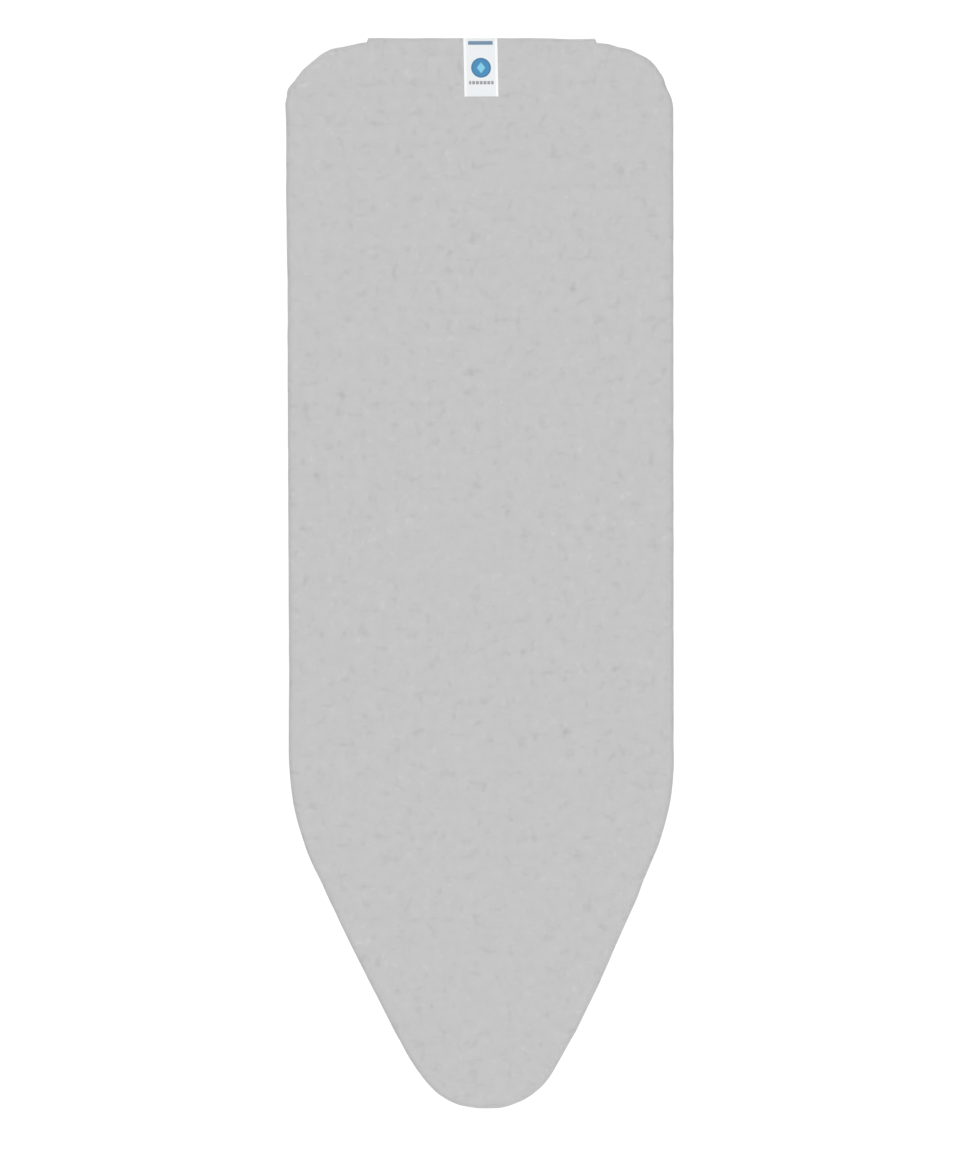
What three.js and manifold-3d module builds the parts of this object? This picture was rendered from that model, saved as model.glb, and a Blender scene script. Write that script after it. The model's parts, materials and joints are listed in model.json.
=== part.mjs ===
import * as THREE from "three";
import { mergeVertices } from "three/addons/utils/BufferGeometryUtils.js";
import Module from "manifold-3d";

// An ironing board cover, lying on a table with its ironing face up.
// Millimetres, +Z up. The wide rear end is at +Y and the nose at -Y.
// The origin is on the table, under the middle of the cover.

// The outline seen from above
const coverLength = 1247;
const rearWidth = 452;
const shoulderWidth = 447.6;
const cornerRadius = 80;
const shoulderRadius = 287;
const noseToShoulder = 408.4;
const taperRadius = 2573;
const noseRadius = 93.4;
const rearProud = 7.5; // the straight rear hem stands this far behind the gathered corners
const proudRamp = 14;
const proudFadeStart = 8;
const proudFadeEnd = 40;

// The cloth and the two layers under it
const coverHeight = 36;
const clothThickness = 0.8;
const foamThickness = 4;
const feltThickness = 4;
const topEdgeRadius = 8;
const lowEdgeRadius = 6;
const layerGap = 0.3;
const padEdgeGap = 0.6;

// The skirt turned under the board, and its folds
const skirtWidth = 52;
const skirtFlatWidth = 14;
const rimRise = 3.4;
const foldHeight = 11;
const foldDrop = 3;
const foldPower = 1.5;
const foldPeakShare = 0.74; // the folds are highest this far in from the flat band to the rim
const foldRimShare = 0.3; // and settle to this share of their height where they are sewn to the casing
const skirtRowShares = [0.38, foldPeakShare];
const cornerFolds = 4;
const noseSideFolds = 3;
const stepsPerFold = 4;
const shoulderSteps = 3;
const taperSteps = 2;

// The tape casing at the skirt's rim, and the drawcord in it
const casingWidth = 9.4;
const casingHeight = 6;
const casingZ = 4.2;
const casingRuffleShare = 0.12;
const casingSides = 8;
const mouthHalfGap = 35;
const cordDiameter = 3.2;
const cordFit = 0.35;
const cordTurnRadius = 12;
const cordTurnSteps = 5;
const cordClimbSteps = 4;

// The cord lock that holds the two ends of the drawcord
const lockFloorGap = 0.3;
const lockCordSpacing = 6.8;
const lockWall = 1.6;
const lockFloor = 2.4;
const lockMouthGap = 6;
const lockSlide = 24;
const lockEdge = 0.9;
const lockRibDepth = 0.5;
const lockRibWidth = 1.2;
const lockRibPitch = 2.6;
const lockRibs = 3;
const slideFit = 0.3;
const plungerThickness = 8.2;
const plungerWall = 1.0;
const plungerHeel = 1.5;
const plungerReach = 5.5;
const plungerTravel = 3;
const plungerEdge = 1.2;
const lockShoulder = 4.6; // body beyond the cord slots on the open side
const springWire = 0.7;
const springDiameter = 6.4;
const springLength = 8.1;
const springTurns = 5;
const springStepsPerTurn = 12;
const springSides = 5;

// The moulded end that joins the two tails of the drawcord
const tailGap = 4;
const endWidth = 7.4;
const endLength = 18;
const endWall = 1.6;
const endEdge = 1.5;
const endGripLength = 9;

// The elastic strap across the underside
const strapY = 120;
const strapWidth = 25;
const strapThickness = 1.2;
const strapTailLength = 22;
const strapEyeLength = 12;
const strapFloorGap = 0.6;
const hookFloorGap = 0.3;
const hookReach = 30;
const hookThickness = 1.8;
const hookTipRise = 3.1;
const hookArmWidth = 3;
const hookArmGap = 0.5;
const hookSlotGap = 0.7;
const hookArmReach = 7;
const hookBossRadius = 1.9;
const barRadius = 1.2;
const barFit = 0.3;
const casingGapAtHook = 40;

// The sewn label on the rear edge
const labelWidth = 40;
const labelLength = 67;
const labelThickness = 0.5;
const labelStart = Math.PI / 6; // how far up the rounded edge the label starts

// Smoothness of small round parts, and how far cutters run past what they cut
const roundSegments = 16;
const bevelSegments = 2;
const overrun = 2;

const quarter = Math.PI / 2;
const times = (count, make) => Array.from({ length: count }, (_, i) => make(i));

const clothGrey = new THREE.MeshStandardMaterial({ color: "#c4c4c4", roughness: 0.72, metalness: 0.15 });
const foamWhite = new THREE.MeshStandardMaterial({ color: "#e9e4d6", roughness: 0.95, metalness: 0 });
const feltGrey = new THREE.MeshStandardMaterial({ color: "#dcdad5", roughness: 1, metalness: 0 });
const tapeGrey = new THREE.MeshStandardMaterial({ color: "#a9abad", roughness: 0.85, metalness: 0 });
const cordWhite = new THREE.MeshStandardMaterial({ color: "#eceae4", roughness: 0.8, metalness: 0 });
const lockBlack = new THREE.MeshStandardMaterial({ color: "#2b2c2e", roughness: 0.45, metalness: 0 });
const springSteel = new THREE.MeshStandardMaterial({ color: "#b9bcc0", roughness: 0.3, metalness: 1 });
const elasticWhite = new THREE.MeshStandardMaterial({ color: "#f0efec", roughness: 0.9, metalness: 0 });
const hookGrey = new THREE.MeshStandardMaterial({ color: "#8c9094", roughness: 0.4, metalness: 0 });
const labelWhite = new THREE.MeshStandardMaterial({ color: "#f4f5f6", roughness: 0.5, metalness: 0 });

const wasm = await Module();
wasm.setup();

// Solids from geometry, and back

function toSolid(geometry) {
  const bare = geometry.clone();
  bare.deleteAttribute("normal");
  bare.deleteAttribute("uv");
  const merged = mergeVertices(bare);
  const vertProperties = new Float32Array(merged.attributes.position.array);
  const triVerts = new Uint32Array(merged.index.array);
  return new wasm.Manifold(new wasm.Mesh({ numProp: 3, vertProperties, triVerts }));
}

function toGeometry(solid) {
  const mesh = solid.getMesh();
  const geometry = new THREE.BufferGeometry();
  geometry.setAttribute("position", new THREE.BufferAttribute(mesh.vertProperties, 3));
  geometry.setIndex(new THREE.BufferAttribute(mesh.triVerts, 1));
  return geometry;
}

const joined = (geometries) => toGeometry(geometries.map(toSolid).reduce((all, one) => all.add(one)));

function cut(geometry, cutters) {
  return toGeometry(cutters.map(toSolid).reduce((left, one) => left.subtract(one), toSolid(geometry)));
}

// The flat cap of a closed row of points, facing the way the row turns by the right-hand rule.
function capFaces(row) {
  const normal = new THREE.Vector3();
  row.forEach((p, i) => {
    normal.add(new THREE.Vector3().crossVectors(p, row[(i + 1) % row.length]));
  });
  normal.normalize();
  const along = new THREE.Vector3().subVectors(row[1], row[0]).normalize();
  const across = new THREE.Vector3().crossVectors(normal, along);
  const flat = row.map((p) => new THREE.Vector2(p.dot(along), p.dot(across)));
  return THREE.ShapeUtils.triangulateShape(flat, []);
}

// A closed solid from rows of points. Each row is a closed loop with as many points as the others,
// and turns right-handed about the way from row to row. Rows either close on themselves or end in caps.
function rowSolid(rows, rowsClose = false) {
  const count = rows[0].length;
  const faces = [];
  const bands = rowsClose ? rows.length : rows.length - 1;
  for (let i = 0; i < bands; i += 1) {
    const here = i * count;
    const next = ((i + 1) % rows.length) * count;
    for (let j = 0; j < count; j += 1) {
      const k = (j + 1) % count;
      faces.push(here + j, here + k, next + k);
      faces.push(here + j, next + k, next + j);
    }
  }
  if (!rowsClose) {
    const last = (rows.length - 1) * count;
    capFaces(rows[0]).forEach(([a, b, c]) => faces.push(c, b, a));
    capFaces(rows.at(-1)).forEach(([a, b, c]) => faces.push(last + a, last + b, last + c));
  }
  const geometry = new THREE.BufferGeometry().setFromPoints(rows.flat());
  geometry.setIndex(faces);
  return geometry;
}

// The outline: stations that run clockwise, seen from above, from the rear to the nose and back.
// Each has a place, the direction that faces out, and how much the cloth is gathered there.

const rearLineY = coverLength / 2 - rearProud;
const noseTipY = -coverLength / 2;
const cornerCentre = new THREE.Vector2(rearWidth / 2 - cornerRadius, rearLineY - cornerRadius);
const shoulderCentre = new THREE.Vector2(shoulderWidth / 2 - shoulderRadius, noseTipY + noseToShoulder);
const noseCentre = new THREE.Vector2(0, noseTipY + noseRadius);

// The way out from a straight edge that touches both circles on their right.
function touchingAngle(from, fromRadius, to, toRadius) {
  const way = new THREE.Vector2().subVectors(to, from);
  return Math.atan2(way.y, way.x) + Math.acos((fromRadius - toRadius) / way.length());
}

// The centre of a large arc that touches both circles from inside it: the one further left.
function touchingArcCentre(a, aRadius, b, bRadius, radius) {
  const way = new THREE.Vector2().subVectors(b, a);
  const span = way.length();
  const fromA = radius - aRadius;
  const fromB = radius - bRadius;
  const along = (fromA ** 2 - fromB ** 2 + span ** 2) / (2 * span);
  const aside = Math.sqrt(fromA ** 2 - along ** 2);
  way.normalize();
  return new THREE.Vector2(a.x + way.x * along + way.y * aside, a.y + way.y * along - way.x * aside);
}

const sideAngle = touchingAngle(cornerCentre, cornerRadius, shoulderCentre, shoulderRadius);
const taperCentre = touchingArcCentre(shoulderCentre, shoulderRadius, noseCentre, noseRadius, taperRadius);
const shoulderAngle = new THREE.Vector2().subVectors(shoulderCentre, taperCentre).angle() - 2 * Math.PI;
const taperAngle = new THREE.Vector2().subVectors(noseCentre, taperCentre).angle() - 2 * Math.PI;

const station = (x, y, angle, gather = 0, wave = 0, proud = 0) => ({
  x,
  y,
  nx: Math.cos(angle),
  ny: Math.sin(angle),
  gather,
  wave,
  proud,
});

// Stations on an arc. gatherAt tells how strongly the cloth is gathered at a share of the way.
function arcStations(centre, radius, from, to, steps, gatherAt = () => 0) {
  return times(steps + 1, (i) => {
    const angle = from + ((to - from) * i) / steps;
    const wave = (1 - Math.cos((2 * Math.PI * i) / stepsPerFold)) / 2;
    const x = centre.x + radius * Math.cos(angle);
    const y = centre.y + radius * Math.sin(angle);
    return station(x, y, angle, gatherAt(i / steps), wave);
  });
}

function rearStation(x) {
  const ramp = Math.min((cornerCentre.x - x) / proudRamp, 1);
  return station(x, rearLineY, quarter, 0, 0, rearProud * ramp ** 2);
}

const cornerGather = (share) => Math.sin(Math.PI * share);
const noseGather = (share) => Math.sin(quarter * share);
const cornerSteps = cornerFolds * stepsPerFold;
const noseSteps = noseSideFolds * stepsPerFold;
const cornerRun = arcStations(cornerCentre, cornerRadius, quarter, sideAngle, cornerSteps, cornerGather);
const shoulderRun = arcStations(shoulderCentre, shoulderRadius, sideAngle, shoulderAngle, shoulderSteps);
const taperRun = arcStations(taperCentre, taperRadius, shoulderAngle, taperAngle, taperSteps);
const noseRun = arcStations(noseCentre, noseRadius, taperAngle, -quarter, noseSteps, noseGather);
const frontRun = [...shoulderRun, ...taperRun.slice(1), ...noseRun.slice(1)];

// A station on the straight side, at a given distance along the board.
function sideStation(y) {
  const start = cornerRun.at(-1);
  const end = shoulderRun[0];
  const share = (start.y - y) / (start.y - end.y);
  return station(start.x + (end.x - start.x) * share, y, sideAngle);
}

const mirrored = (stations) => stations.map((s) => ({ ...s, x: -s.x, nx: -s.nx })).reverse();

const rampXs = [cornerCentre.x - proudRamp, cornerCentre.x - proudRamp / 2];
const rightHalf = [...rampXs.map(rearStation), ...cornerRun, ...frontRun];
const outline = [...rightHalf, ...mirrored(rightHalf.slice(0, -1))];

// The place at a distance inside the outline. The proud rear hem fades out on the way in.
function placeInside(s, inset, z) {
  const fade = Math.min(Math.max((proudFadeEnd - inset) / (proudFadeEnd - proudFadeStart), 0), 1);
  return new THREE.Vector3(s.x - s.nx * inset, s.y - s.ny * inset + s.proud * fade, z);
}

// The cover cloth: top, rounded edges, side wall, and the skirt that turns under in folds

function skirtZ(s, inset) {
  const share = Math.max((inset - skirtFlatWidth) / (skirtWidth - skirtFlatWidth), 0);
  const settled = Math.max((share - foldPeakShare) / (1 - foldPeakShare), 0) * (1 - foldRimShare);
  const fold = s.gather * (foldHeight * s.wave - foldDrop) * (1 - settled);
  return share ** foldPower * (rimRise + fold);
}

const edgeArc = (radius, centreInset, centreZ, angles) =>
  angles.map((angle) => [centreInset - radius * Math.cos(angle), () => centreZ + radius * Math.sin(angle)]);

function coverCloth() {
  const topZ = coverHeight - topEdgeRadius;
  const innerTop = topEdgeRadius - clothThickness;
  const innerLow = lowEdgeRadius - clothThickness;
  const skirtInset = (share) => skirtFlatWidth + (skirtWidth - skirtFlatWidth) * share;
  const underRows = [0, ...skirtRowShares, 1].map(skirtInset);
  const innerRows = [1, foldPeakShare].map(skirtInset);
  const section = [
    ...edgeArc(topEdgeRadius, topEdgeRadius, topZ, [quarter, quarter / 2, 0]),
    ...edgeArc(lowEdgeRadius, lowEdgeRadius, lowEdgeRadius, [0, -quarter]),
    ...underRows.map((inset) => [inset, (s) => skirtZ(s, inset)]),
    ...innerRows.map((inset) => [inset, (s) => skirtZ(s, inset) + clothThickness]),
    ...edgeArc(innerLow, lowEdgeRadius, lowEdgeRadius, [-quarter, 0]),
    ...edgeArc(innerTop, topEdgeRadius, topZ, [0, quarter / 3, (2 * quarter) / 3, quarter]),
  ];
  return rowSolid(section.map(([inset, zAt]) => outline.map((s) => placeInside(s, inset, zAt(s)))));
}

// A pad layer that fills the cloth's rounded edge, with a clearance, between two heights.
function padLayer(topZ, lowZ) {
  const centreZ = coverHeight - topEdgeRadius;
  const radius = topEdgeRadius - clothThickness - padEdgeGap;
  const insetAt = (z) => {
    const rise = Math.min(Math.max(z - centreZ, 0), radius);
    return topEdgeRadius - Math.sqrt(radius ** 2 - rise ** 2);
  };
  const heights = [topZ, (topZ + lowZ) / 2, lowZ];
  return rowSolid(heights.map((z) => outline.map((s) => placeInside(s, insetAt(z), z))));
}

const foamTop = coverHeight - clothThickness - layerGap;
const feltTop = foamTop - foamThickness - layerGap;
const feltUnderside = feltTop - feltThickness;

// The casing and the drawcord both follow the skirt's rim

const rimInset = skirtWidth + layerGap + casingWidth / 2;
const cordRadius = cordDiameter / 2;
const boreRadius = cordRadius + cordFit;

function oval(halfWidth, halfHeight) {
  return times(casingSides, (i) => {
    const angle = ((i + 1 / 2) * 2 * Math.PI) / casingSides;
    const reach = 1 / Math.cos(Math.PI / casingSides);
    return [halfWidth * reach * Math.cos(angle), halfHeight * reach * Math.sin(angle)];
  });
}

const sectionRow = (f, section) =>
  section.map(([out, up]) => new THREE.Vector3(f.x + f.nx * out, f.y + f.ny * out, f.z + up));

// A station moved in to the rim, as a frame that a section is swept through.
function rimFrame(s) {
  const place = placeInside(s, rimInset, casingZ);
  return { x: place.x, y: place.y, z: place.z, nx: s.nx, ny: s.ny, ruffle: s.gather * s.wave };
}

function casing(stations) {
  const frames = stations.map(rimFrame);
  const halfWidth = (casingWidth / 2) * (1 - casingRuffleShare);
  const outer = frames.map((f) => {
    const swell = 1 + casingRuffleShare * f.ruffle;
    return sectionRow(f, oval(halfWidth * swell, (casingHeight / 2) * swell));
  });
  const bore = frames.map((f) => sectionRow(f, oval(boreRadius, boreRadius)));
  return rowSolid([...outer, ...bore.reverse()], true);
}

const hookSide = casingGapAtHook / 2;
const rearRight = [rearStation(mouthHalfGap), ...cornerRun, sideStation(strapY + hookSide)];
const frontRight = [sideStation(strapY - hookSide), ...frontRun];

const lockHeight = lockCordSpacing + 2 * (boreRadius + plungerWall + slideFit + lockWall);
const lockThickness = plungerThickness + 2 * (slideFit + lockWall);
const lockZ = lockFloorGap + lockHeight / 2;
const tailTopY = rearLineY - rimInset - cordTurnRadius;
const lockY = tailTopY - lockMouthGap - lockThickness / 2;
const endTopY = lockY - lockSlide - lockThickness / 2 - tailGap;
const tailEndY = endTopY - endGripLength;
const tailZ = (side) => lockZ + (side * lockCordSpacing) / 2;

// The run from a tail end, up through the lock, round the turn and over to the casing's mouth.
// side is 1 for the cord that climbs to the lock's upper hole and -1 for the lower one.
function tailFrames(side) {
  const z = tailZ(side);
  const turnCentre = new THREE.Vector2(cordTurnRadius, tailTopY);
  const tail = { x: 0, y: tailEndY, z, nx: -1, ny: 0 };
  const arc = arcStations(turnCentre, cordTurnRadius, Math.PI, quarter, cordTurnSteps);
  const turn = arc.map((s) => ({ ...s, z }));
  const start = turn.at(-1);
  const climb = times(cordClimbSteps - 1, (i) => {
    const share = (i + 1) / cordClimbSteps;
    const smooth = share * share * (3 - 2 * share);
    return { ...start, x: start.x + (mouthHalfGap - start.x) * share, z: z + (casingZ - z) * smooth };
  });
  return [tail, ...turn, ...climb];
}

function drawcord() {
  const half = [rearStation(mouthHalfGap), ...cornerRun, ...frontRun];
  const loop = [...half, ...mirrored(half.slice(0, -1))].map(rimFrame);
  const frames = [...tailFrames(-1), ...loop, ...mirrored(tailFrames(1))];
  return rowSolid(frames.map((f) => sectionRow(f, oval(cordRadius, cordRadius))));
}

// Small moulded parts: a plate or block with rounded edges, cut from a shape

function block(shape, depth, edge = 0) {
  const geometry = new THREE.ExtrudeGeometry(shape, {
    depth: depth - 2 * edge,
    bevelEnabled: edge > 0,
    bevelThickness: edge,
    bevelSize: edge,
    bevelOffset: -edge,
    bevelSegments,
    curveSegments: roundSegments / 2,
  });
  return geometry.translate(0, 0, edge);
}

// A flat oval, longer along the shape's second axis.
function stadium(width, length) {
  const radius = width / 2;
  const straight = length / 2 - radius;
  const shape = new THREE.Shape();
  shape.moveTo(radius, -straight);
  shape.lineTo(radius, straight);
  shape.absarc(0, straight, radius, 0, Math.PI, false);
  shape.lineTo(-radius, -straight);
  shape.absarc(0, -straight, radius, Math.PI, 2 * Math.PI, false);
  return shape;
}

// Turns a block that was extruded along Z so that it runs along X, with its length upright.
const alongX = (geometry) => geometry.rotateZ(-quarter).rotateY(quarter).rotateX(quarter * 2);

function roundBar(radius, length) {
  return new THREE.CylinderGeometry(radius, radius, length, roundSegments);
}

// The cord lock, about the point where the cords pass: body, plunger and spring lie along X

const heelX = -(boreRadius + plungerHeel);
const cavityX = heelX - springLength - 2 * slideFit;
const lockBackX = cavityX - lockFloor;
const lockFrontX = boreRadius + plungerTravel + lockShoulder;
const plungerFrontX = lockFrontX + plungerReach;

const cordHoles = (length) =>
  [-1, 1].map((side) => roundBar(boreRadius, length).translate(0, 0, (side * lockCordSpacing) / 2));

function lockBody() {
  const length = lockFrontX - lockBackX;
  const solid = alongX(block(stadium(lockThickness, lockHeight), length, lockEdge));
  const shell = solid.translate(lockBackX, 0, 0);
  const inner = stadium(plungerThickness + 2 * slideFit, lockHeight - 2 * lockWall);
  const cavity = alongX(block(inner, lockFrontX - cavityX + overrun)).translate(cavityX, 0, 0);
  const ribs = times(lockRibs, (i) => {
    const x = lockBackX + lockEdge + lockRibWidth / 2 + (i + 1 / 2) * lockRibPitch;
    const outside = stadium(lockThickness + overrun, lockHeight + overrun);
    const inside = stadium(lockThickness - 2 * lockRibDepth, lockHeight - 2 * lockRibDepth);
    const around = alongX(block(outside, lockRibWidth)).translate(x, 0, 0);
    const core = alongX(block(inside, lockRibWidth + overrun)).translate(x - overrun / 2, 0, 0);
    return cut(around, [core]);
  });
  return cut(shell, [cavity, ...cordHoles(lockThickness + overrun), ...ribs]);
}

function lockPlunger() {
  const length = plungerFrontX - heelX;
  const outline = stadium(plungerThickness, lockHeight - 2 * (lockWall + slideFit));
  const stem = alongX(block(outline, length, plungerEdge)).translate(heelX, 0, 0);
  const slot = stadium(2 * boreRadius, 2 * boreRadius + plungerTravel);
  const slots = [-1, 1].map((side) => {
    const cutter = block(slot, plungerThickness + overrun).rotateZ(quarter).rotateX(quarter);
    const y = (plungerThickness + overrun) / 2;
    return cutter.translate(plungerTravel / 2, y, (side * lockCordSpacing) / 2);
  });
  return cut(stem, slots);
}

function lockSpring() {
  const radius = (springDiameter - springWire) / 2;
  const run = springLength - springWire;
  const start = heelX - slideFit - springWire / 2;
  const steps = springTurns * springStepsPerTurn;
  const centres = [];
  const rows = times(steps + 1, (i) => {
    const turn = (2 * Math.PI * i) / springStepsPerTurn;
    const radial = new THREE.Vector3(0, Math.cos(turn), Math.sin(turn));
    const centre = radial.clone().multiplyScalar(radius).setX(start - (run * i) / steps);
    centres.push(centre);
    return times(springSides, (j) => {
      const angle = (2 * Math.PI * j) / springSides;
      const out = (springWire / 2) * Math.cos(angle);
      const back = (springWire / 2) * Math.sin(angle);
      return centre.clone().addScaledVector(radial, out).setX(centre.x - back);
    });
  });
  let least = Infinity;
  for (let i = 0; i < centres.length; i += 1) {
    for (let j = i + springStepsPerTurn / 2; j < centres.length; j += 1) {
      least = Math.min(least, centres[i].distanceTo(centres[j]) - springWire);
    }
  }
  console.log("spring: least gap between turns " + least.toFixed(2) + " mm");
  return rowSolid(rows);
}

// The moulded end that the two tails are held in

function cordEnd() {
  const height = lockCordSpacing + 2 * (boreRadius + endWall);
  const body = block(stadium(endWidth, height), endLength, endEdge).rotateX(quarter);
  const bores = [-1, 1].map((side) => {
    const length = endGripLength + layerGap + overrun;
    return roundBar(boreRadius, length).translate(0, overrun - length / 2, (side * lockCordSpacing) / 2);
  });
  return cut(body, bores);
}

// The elastic strap, looped round the bar of a hook at each end. X across the board, Z up.

const barZ = strapFloorGap + strapThickness + barFit + barRadius;
const cordXAtStrap = sideStation(strapY).x - rimInset;
const barX = cordXAtStrap - hookReach;

function elasticStrap() {
  const eyeRadius = barRadius + barFit;
  const loopRadius = eyeRadius + strapThickness;
  const low = barZ - loopRadius;
  const single = low + strapThickness;
  const double = single + strapThickness;
  const shape = new THREE.Shape();
  shape.moveTo(-barX, low);
  shape.lineTo(barX, low);
  shape.absarc(barX, barZ, loopRadius, -quarter, quarter, false);
  shape.lineTo(barX - strapEyeLength, double);
  shape.lineTo(barX - strapEyeLength - strapTailLength, double);
  shape.lineTo(barX - strapEyeLength - strapTailLength, single);
  shape.lineTo(-barX + strapEyeLength + strapTailLength, single);
  shape.lineTo(-barX + strapEyeLength + strapTailLength, double);
  shape.lineTo(-barX + strapEyeLength, double);
  shape.lineTo(-barX, barZ + loopRadius);
  shape.absarc(-barX, barZ, loopRadius, quarter, 3 * quarter, false);
  for (const side of [-1, 1]) {
    const eye = new THREE.Path();
    eye.moveTo(side * barX, barZ - eyeRadius);
    eye.absarc(side * barX, barZ, eyeRadius, -quarter, quarter, side < 0);
    eye.lineTo(side * (barX - strapEyeLength + strapThickness), single);
    shape.holes.push(eye);
  }
  return block(shape, strapWidth).rotateX(quarter).translate(0, strapWidth / 2, 0);
}

// A strap hook about its bar: the plate runs out along X under the cord and its tip turns up behind it.
function strapHook() {
  const width = strapWidth + 2 * (hookArmGap + hookArmWidth);
  const cordZ = casingZ - barZ;
  const low = hookFloorGap - barZ;
  const top = low + hookThickness;
  const bend = cordZ - top;
  const slotX = barRadius + barFit + strapThickness + hookSlotGap;
  const tipZ = cordZ + hookTipRise;
  const plate = new THREE.Shape();
  plate.moveTo(slotX, low);
  plate.lineTo(hookReach, low);
  plate.absarc(hookReach, cordZ, bend + hookThickness, -quarter, 0, false);
  plate.lineTo(hookReach + bend + hookThickness, tipZ);
  plate.absarc(hookReach + bend + hookThickness / 2, tipZ, hookThickness / 2, 0, Math.PI, false);
  plate.lineTo(hookReach + bend, cordZ);
  plate.absarc(hookReach, cordZ, bend, 0, -quarter, true);
  plate.lineTo(slotX, top);
  const arm = new THREE.Shape();
  arm.moveTo(hookArmReach, low);
  arm.lineTo(hookArmReach, top);
  arm.absarc(0, 0, hookBossRadius, quarter / 2, 3 * quarter, false);
  const upright = (shape, depth, y) => block(shape, depth).rotateX(quarter).translate(0, y + depth, 0);
  return joined([
    upright(plate, width, -width / 2),
    upright(arm, hookArmWidth, -width / 2),
    upright(arm, hookArmWidth, width / 2 - hookArmWidth),
    roundBar(barRadius, width - hookArmWidth),
  ]);
}

// The label lies on the ironing face and over the rounded rear edge. Drawn with Y out of the rear and Z up.

function label() {
  const centreY = coverLength / 2 - topEdgeRadius;
  const centreZ = coverHeight - topEdgeRadius;
  const inner = topEdgeRadius + layerGap;
  const outer = inner + labelThickness;
  const frontY = coverLength / 2 - labelLength;
  const shape = new THREE.Shape();
  shape.moveTo(centreY + inner * Math.cos(labelStart), centreZ + inner * Math.sin(labelStart));
  shape.absarc(centreY, centreZ, outer, labelStart, quarter, false);
  shape.lineTo(frontY, centreZ + outer);
  shape.lineTo(frontY, centreZ + inner);
  shape.absarc(centreY, centreZ, inner, quarter, labelStart, true);
  return block(shape, labelWidth).rotateY(quarter).rotateX(quarter).translate(-labelWidth / 2, 0, 0);
}

function part(name, geometry, material, parent) {
  const mesh = new THREE.Mesh(geometry, material);
  mesh.name = name;
  parent.add(mesh);
  return mesh;
}

const cover = new THREE.Group();
part("cover_cloth", coverCloth(), clothGrey, cover);
part("foam_layer", padLayer(foamTop, foamTop - foamThickness), foamWhite, cover);
part("felt_layer", padLayer(feltTop, feltUnderside), feltGrey, cover);
part("label", label(), labelWhite, cover);
part("cord_casing_rear_right", casing(rearRight), tapeGrey, cover);
part("cord_casing_rear_left", casing(mirrored(rearRight)), tapeGrey, cover);
part("cord_casing_nose", casing([...frontRight, ...mirrored(frontRight.slice(0, -1))]), tapeGrey, cover);
part("drawcord", drawcord(), cordWhite, cover);
part("cord_end", cordEnd(), lockBlack, cover).position.set(0, endTopY, lockZ);

const cordLock = new THREE.Group();
cordLock.position.set(0, lockY, lockZ);
part("cord_lock_body", lockBody(), lockBlack, cordLock);
part("cord_lock_plunger", lockPlunger(), lockBlack, cordLock);
part("cord_lock_spring", lockSpring(), springSteel, cordLock);
cover.add(cordLock);

part("elastic_strap", elasticStrap(), elasticWhite, cover).position.set(0, strapY, 0);
const rightHook = part("strap_hook_right", strapHook(), hookGrey, cover);
rightHook.position.set(barX, strapY, barZ);
const leftHook = part("strap_hook_left", strapHook(), hookGrey, cover);
leftHook.position.set(-barX, strapY, barZ);
leftHook.rotation.z = Math.PI;

export default cover;
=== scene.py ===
import json
import math

import bmesh
import bpy
import numpy as np
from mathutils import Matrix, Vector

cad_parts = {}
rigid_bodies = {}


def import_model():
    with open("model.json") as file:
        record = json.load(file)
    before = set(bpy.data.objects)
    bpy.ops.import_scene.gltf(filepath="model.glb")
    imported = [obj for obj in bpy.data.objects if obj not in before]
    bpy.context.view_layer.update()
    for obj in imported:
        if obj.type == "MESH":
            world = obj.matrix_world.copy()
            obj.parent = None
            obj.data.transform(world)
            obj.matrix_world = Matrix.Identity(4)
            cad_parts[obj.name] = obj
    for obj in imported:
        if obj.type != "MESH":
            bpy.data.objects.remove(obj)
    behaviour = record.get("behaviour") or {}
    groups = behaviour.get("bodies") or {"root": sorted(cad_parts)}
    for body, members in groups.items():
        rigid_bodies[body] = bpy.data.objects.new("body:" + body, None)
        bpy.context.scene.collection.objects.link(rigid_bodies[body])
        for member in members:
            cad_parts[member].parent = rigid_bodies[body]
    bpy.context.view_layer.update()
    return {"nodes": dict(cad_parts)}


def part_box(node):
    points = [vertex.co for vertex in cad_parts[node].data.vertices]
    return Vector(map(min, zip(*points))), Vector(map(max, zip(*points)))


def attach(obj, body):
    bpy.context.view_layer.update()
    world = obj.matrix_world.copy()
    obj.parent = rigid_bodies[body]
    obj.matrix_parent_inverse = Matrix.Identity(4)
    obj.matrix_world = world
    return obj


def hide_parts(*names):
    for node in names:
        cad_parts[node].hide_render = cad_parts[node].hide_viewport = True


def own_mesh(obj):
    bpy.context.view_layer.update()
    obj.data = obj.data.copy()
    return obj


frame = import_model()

# An ironing board cover in its fitted shape, lying on a white table with the ironing face up.
# The wide rear end is at +Y and the nose at -Y. Metres in Blender, millimetres in the settings.

mm = 0.001
toMm = 1000.0


def boxOf(node):
    # the two corners of a CAD node's box, in mm
    return [np.array(corner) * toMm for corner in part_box(node)]


clothLow, clothHigh = boxOf("cover_cloth")
print("frame loaded:", len(frame["nodes"]), "CAD nodes")


# Small tools: colours, shader nodes, lines of points, meshes from rows of points

def linearColor(hexText):
    shares = [int(hexText[i:i + 2], 16) / 255 for i in (1, 3, 5)]
    return [v / 12.92 if v <= 0.04045 else ((v + 0.055) / 1.055) ** 2.4 for v in shares] + [1.0]


def addNode(tree, kind, inputs=None, **settings):
    # an input is a value, a socket, or a node, which stands for its first output
    node = tree.nodes.new("ShaderNode" + kind)
    for key, value in settings.items():
        setattr(node, key, value)
    for socket, value in (inputs or {}).items():
        if isinstance(value, bpy.types.Node):
            value = value.outputs[0]
        if isinstance(value, bpy.types.NodeSocket):
            tree.links.new(value, node.inputs[socket])
        else:
            node.inputs[socket].default_value = value
    return node


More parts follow.
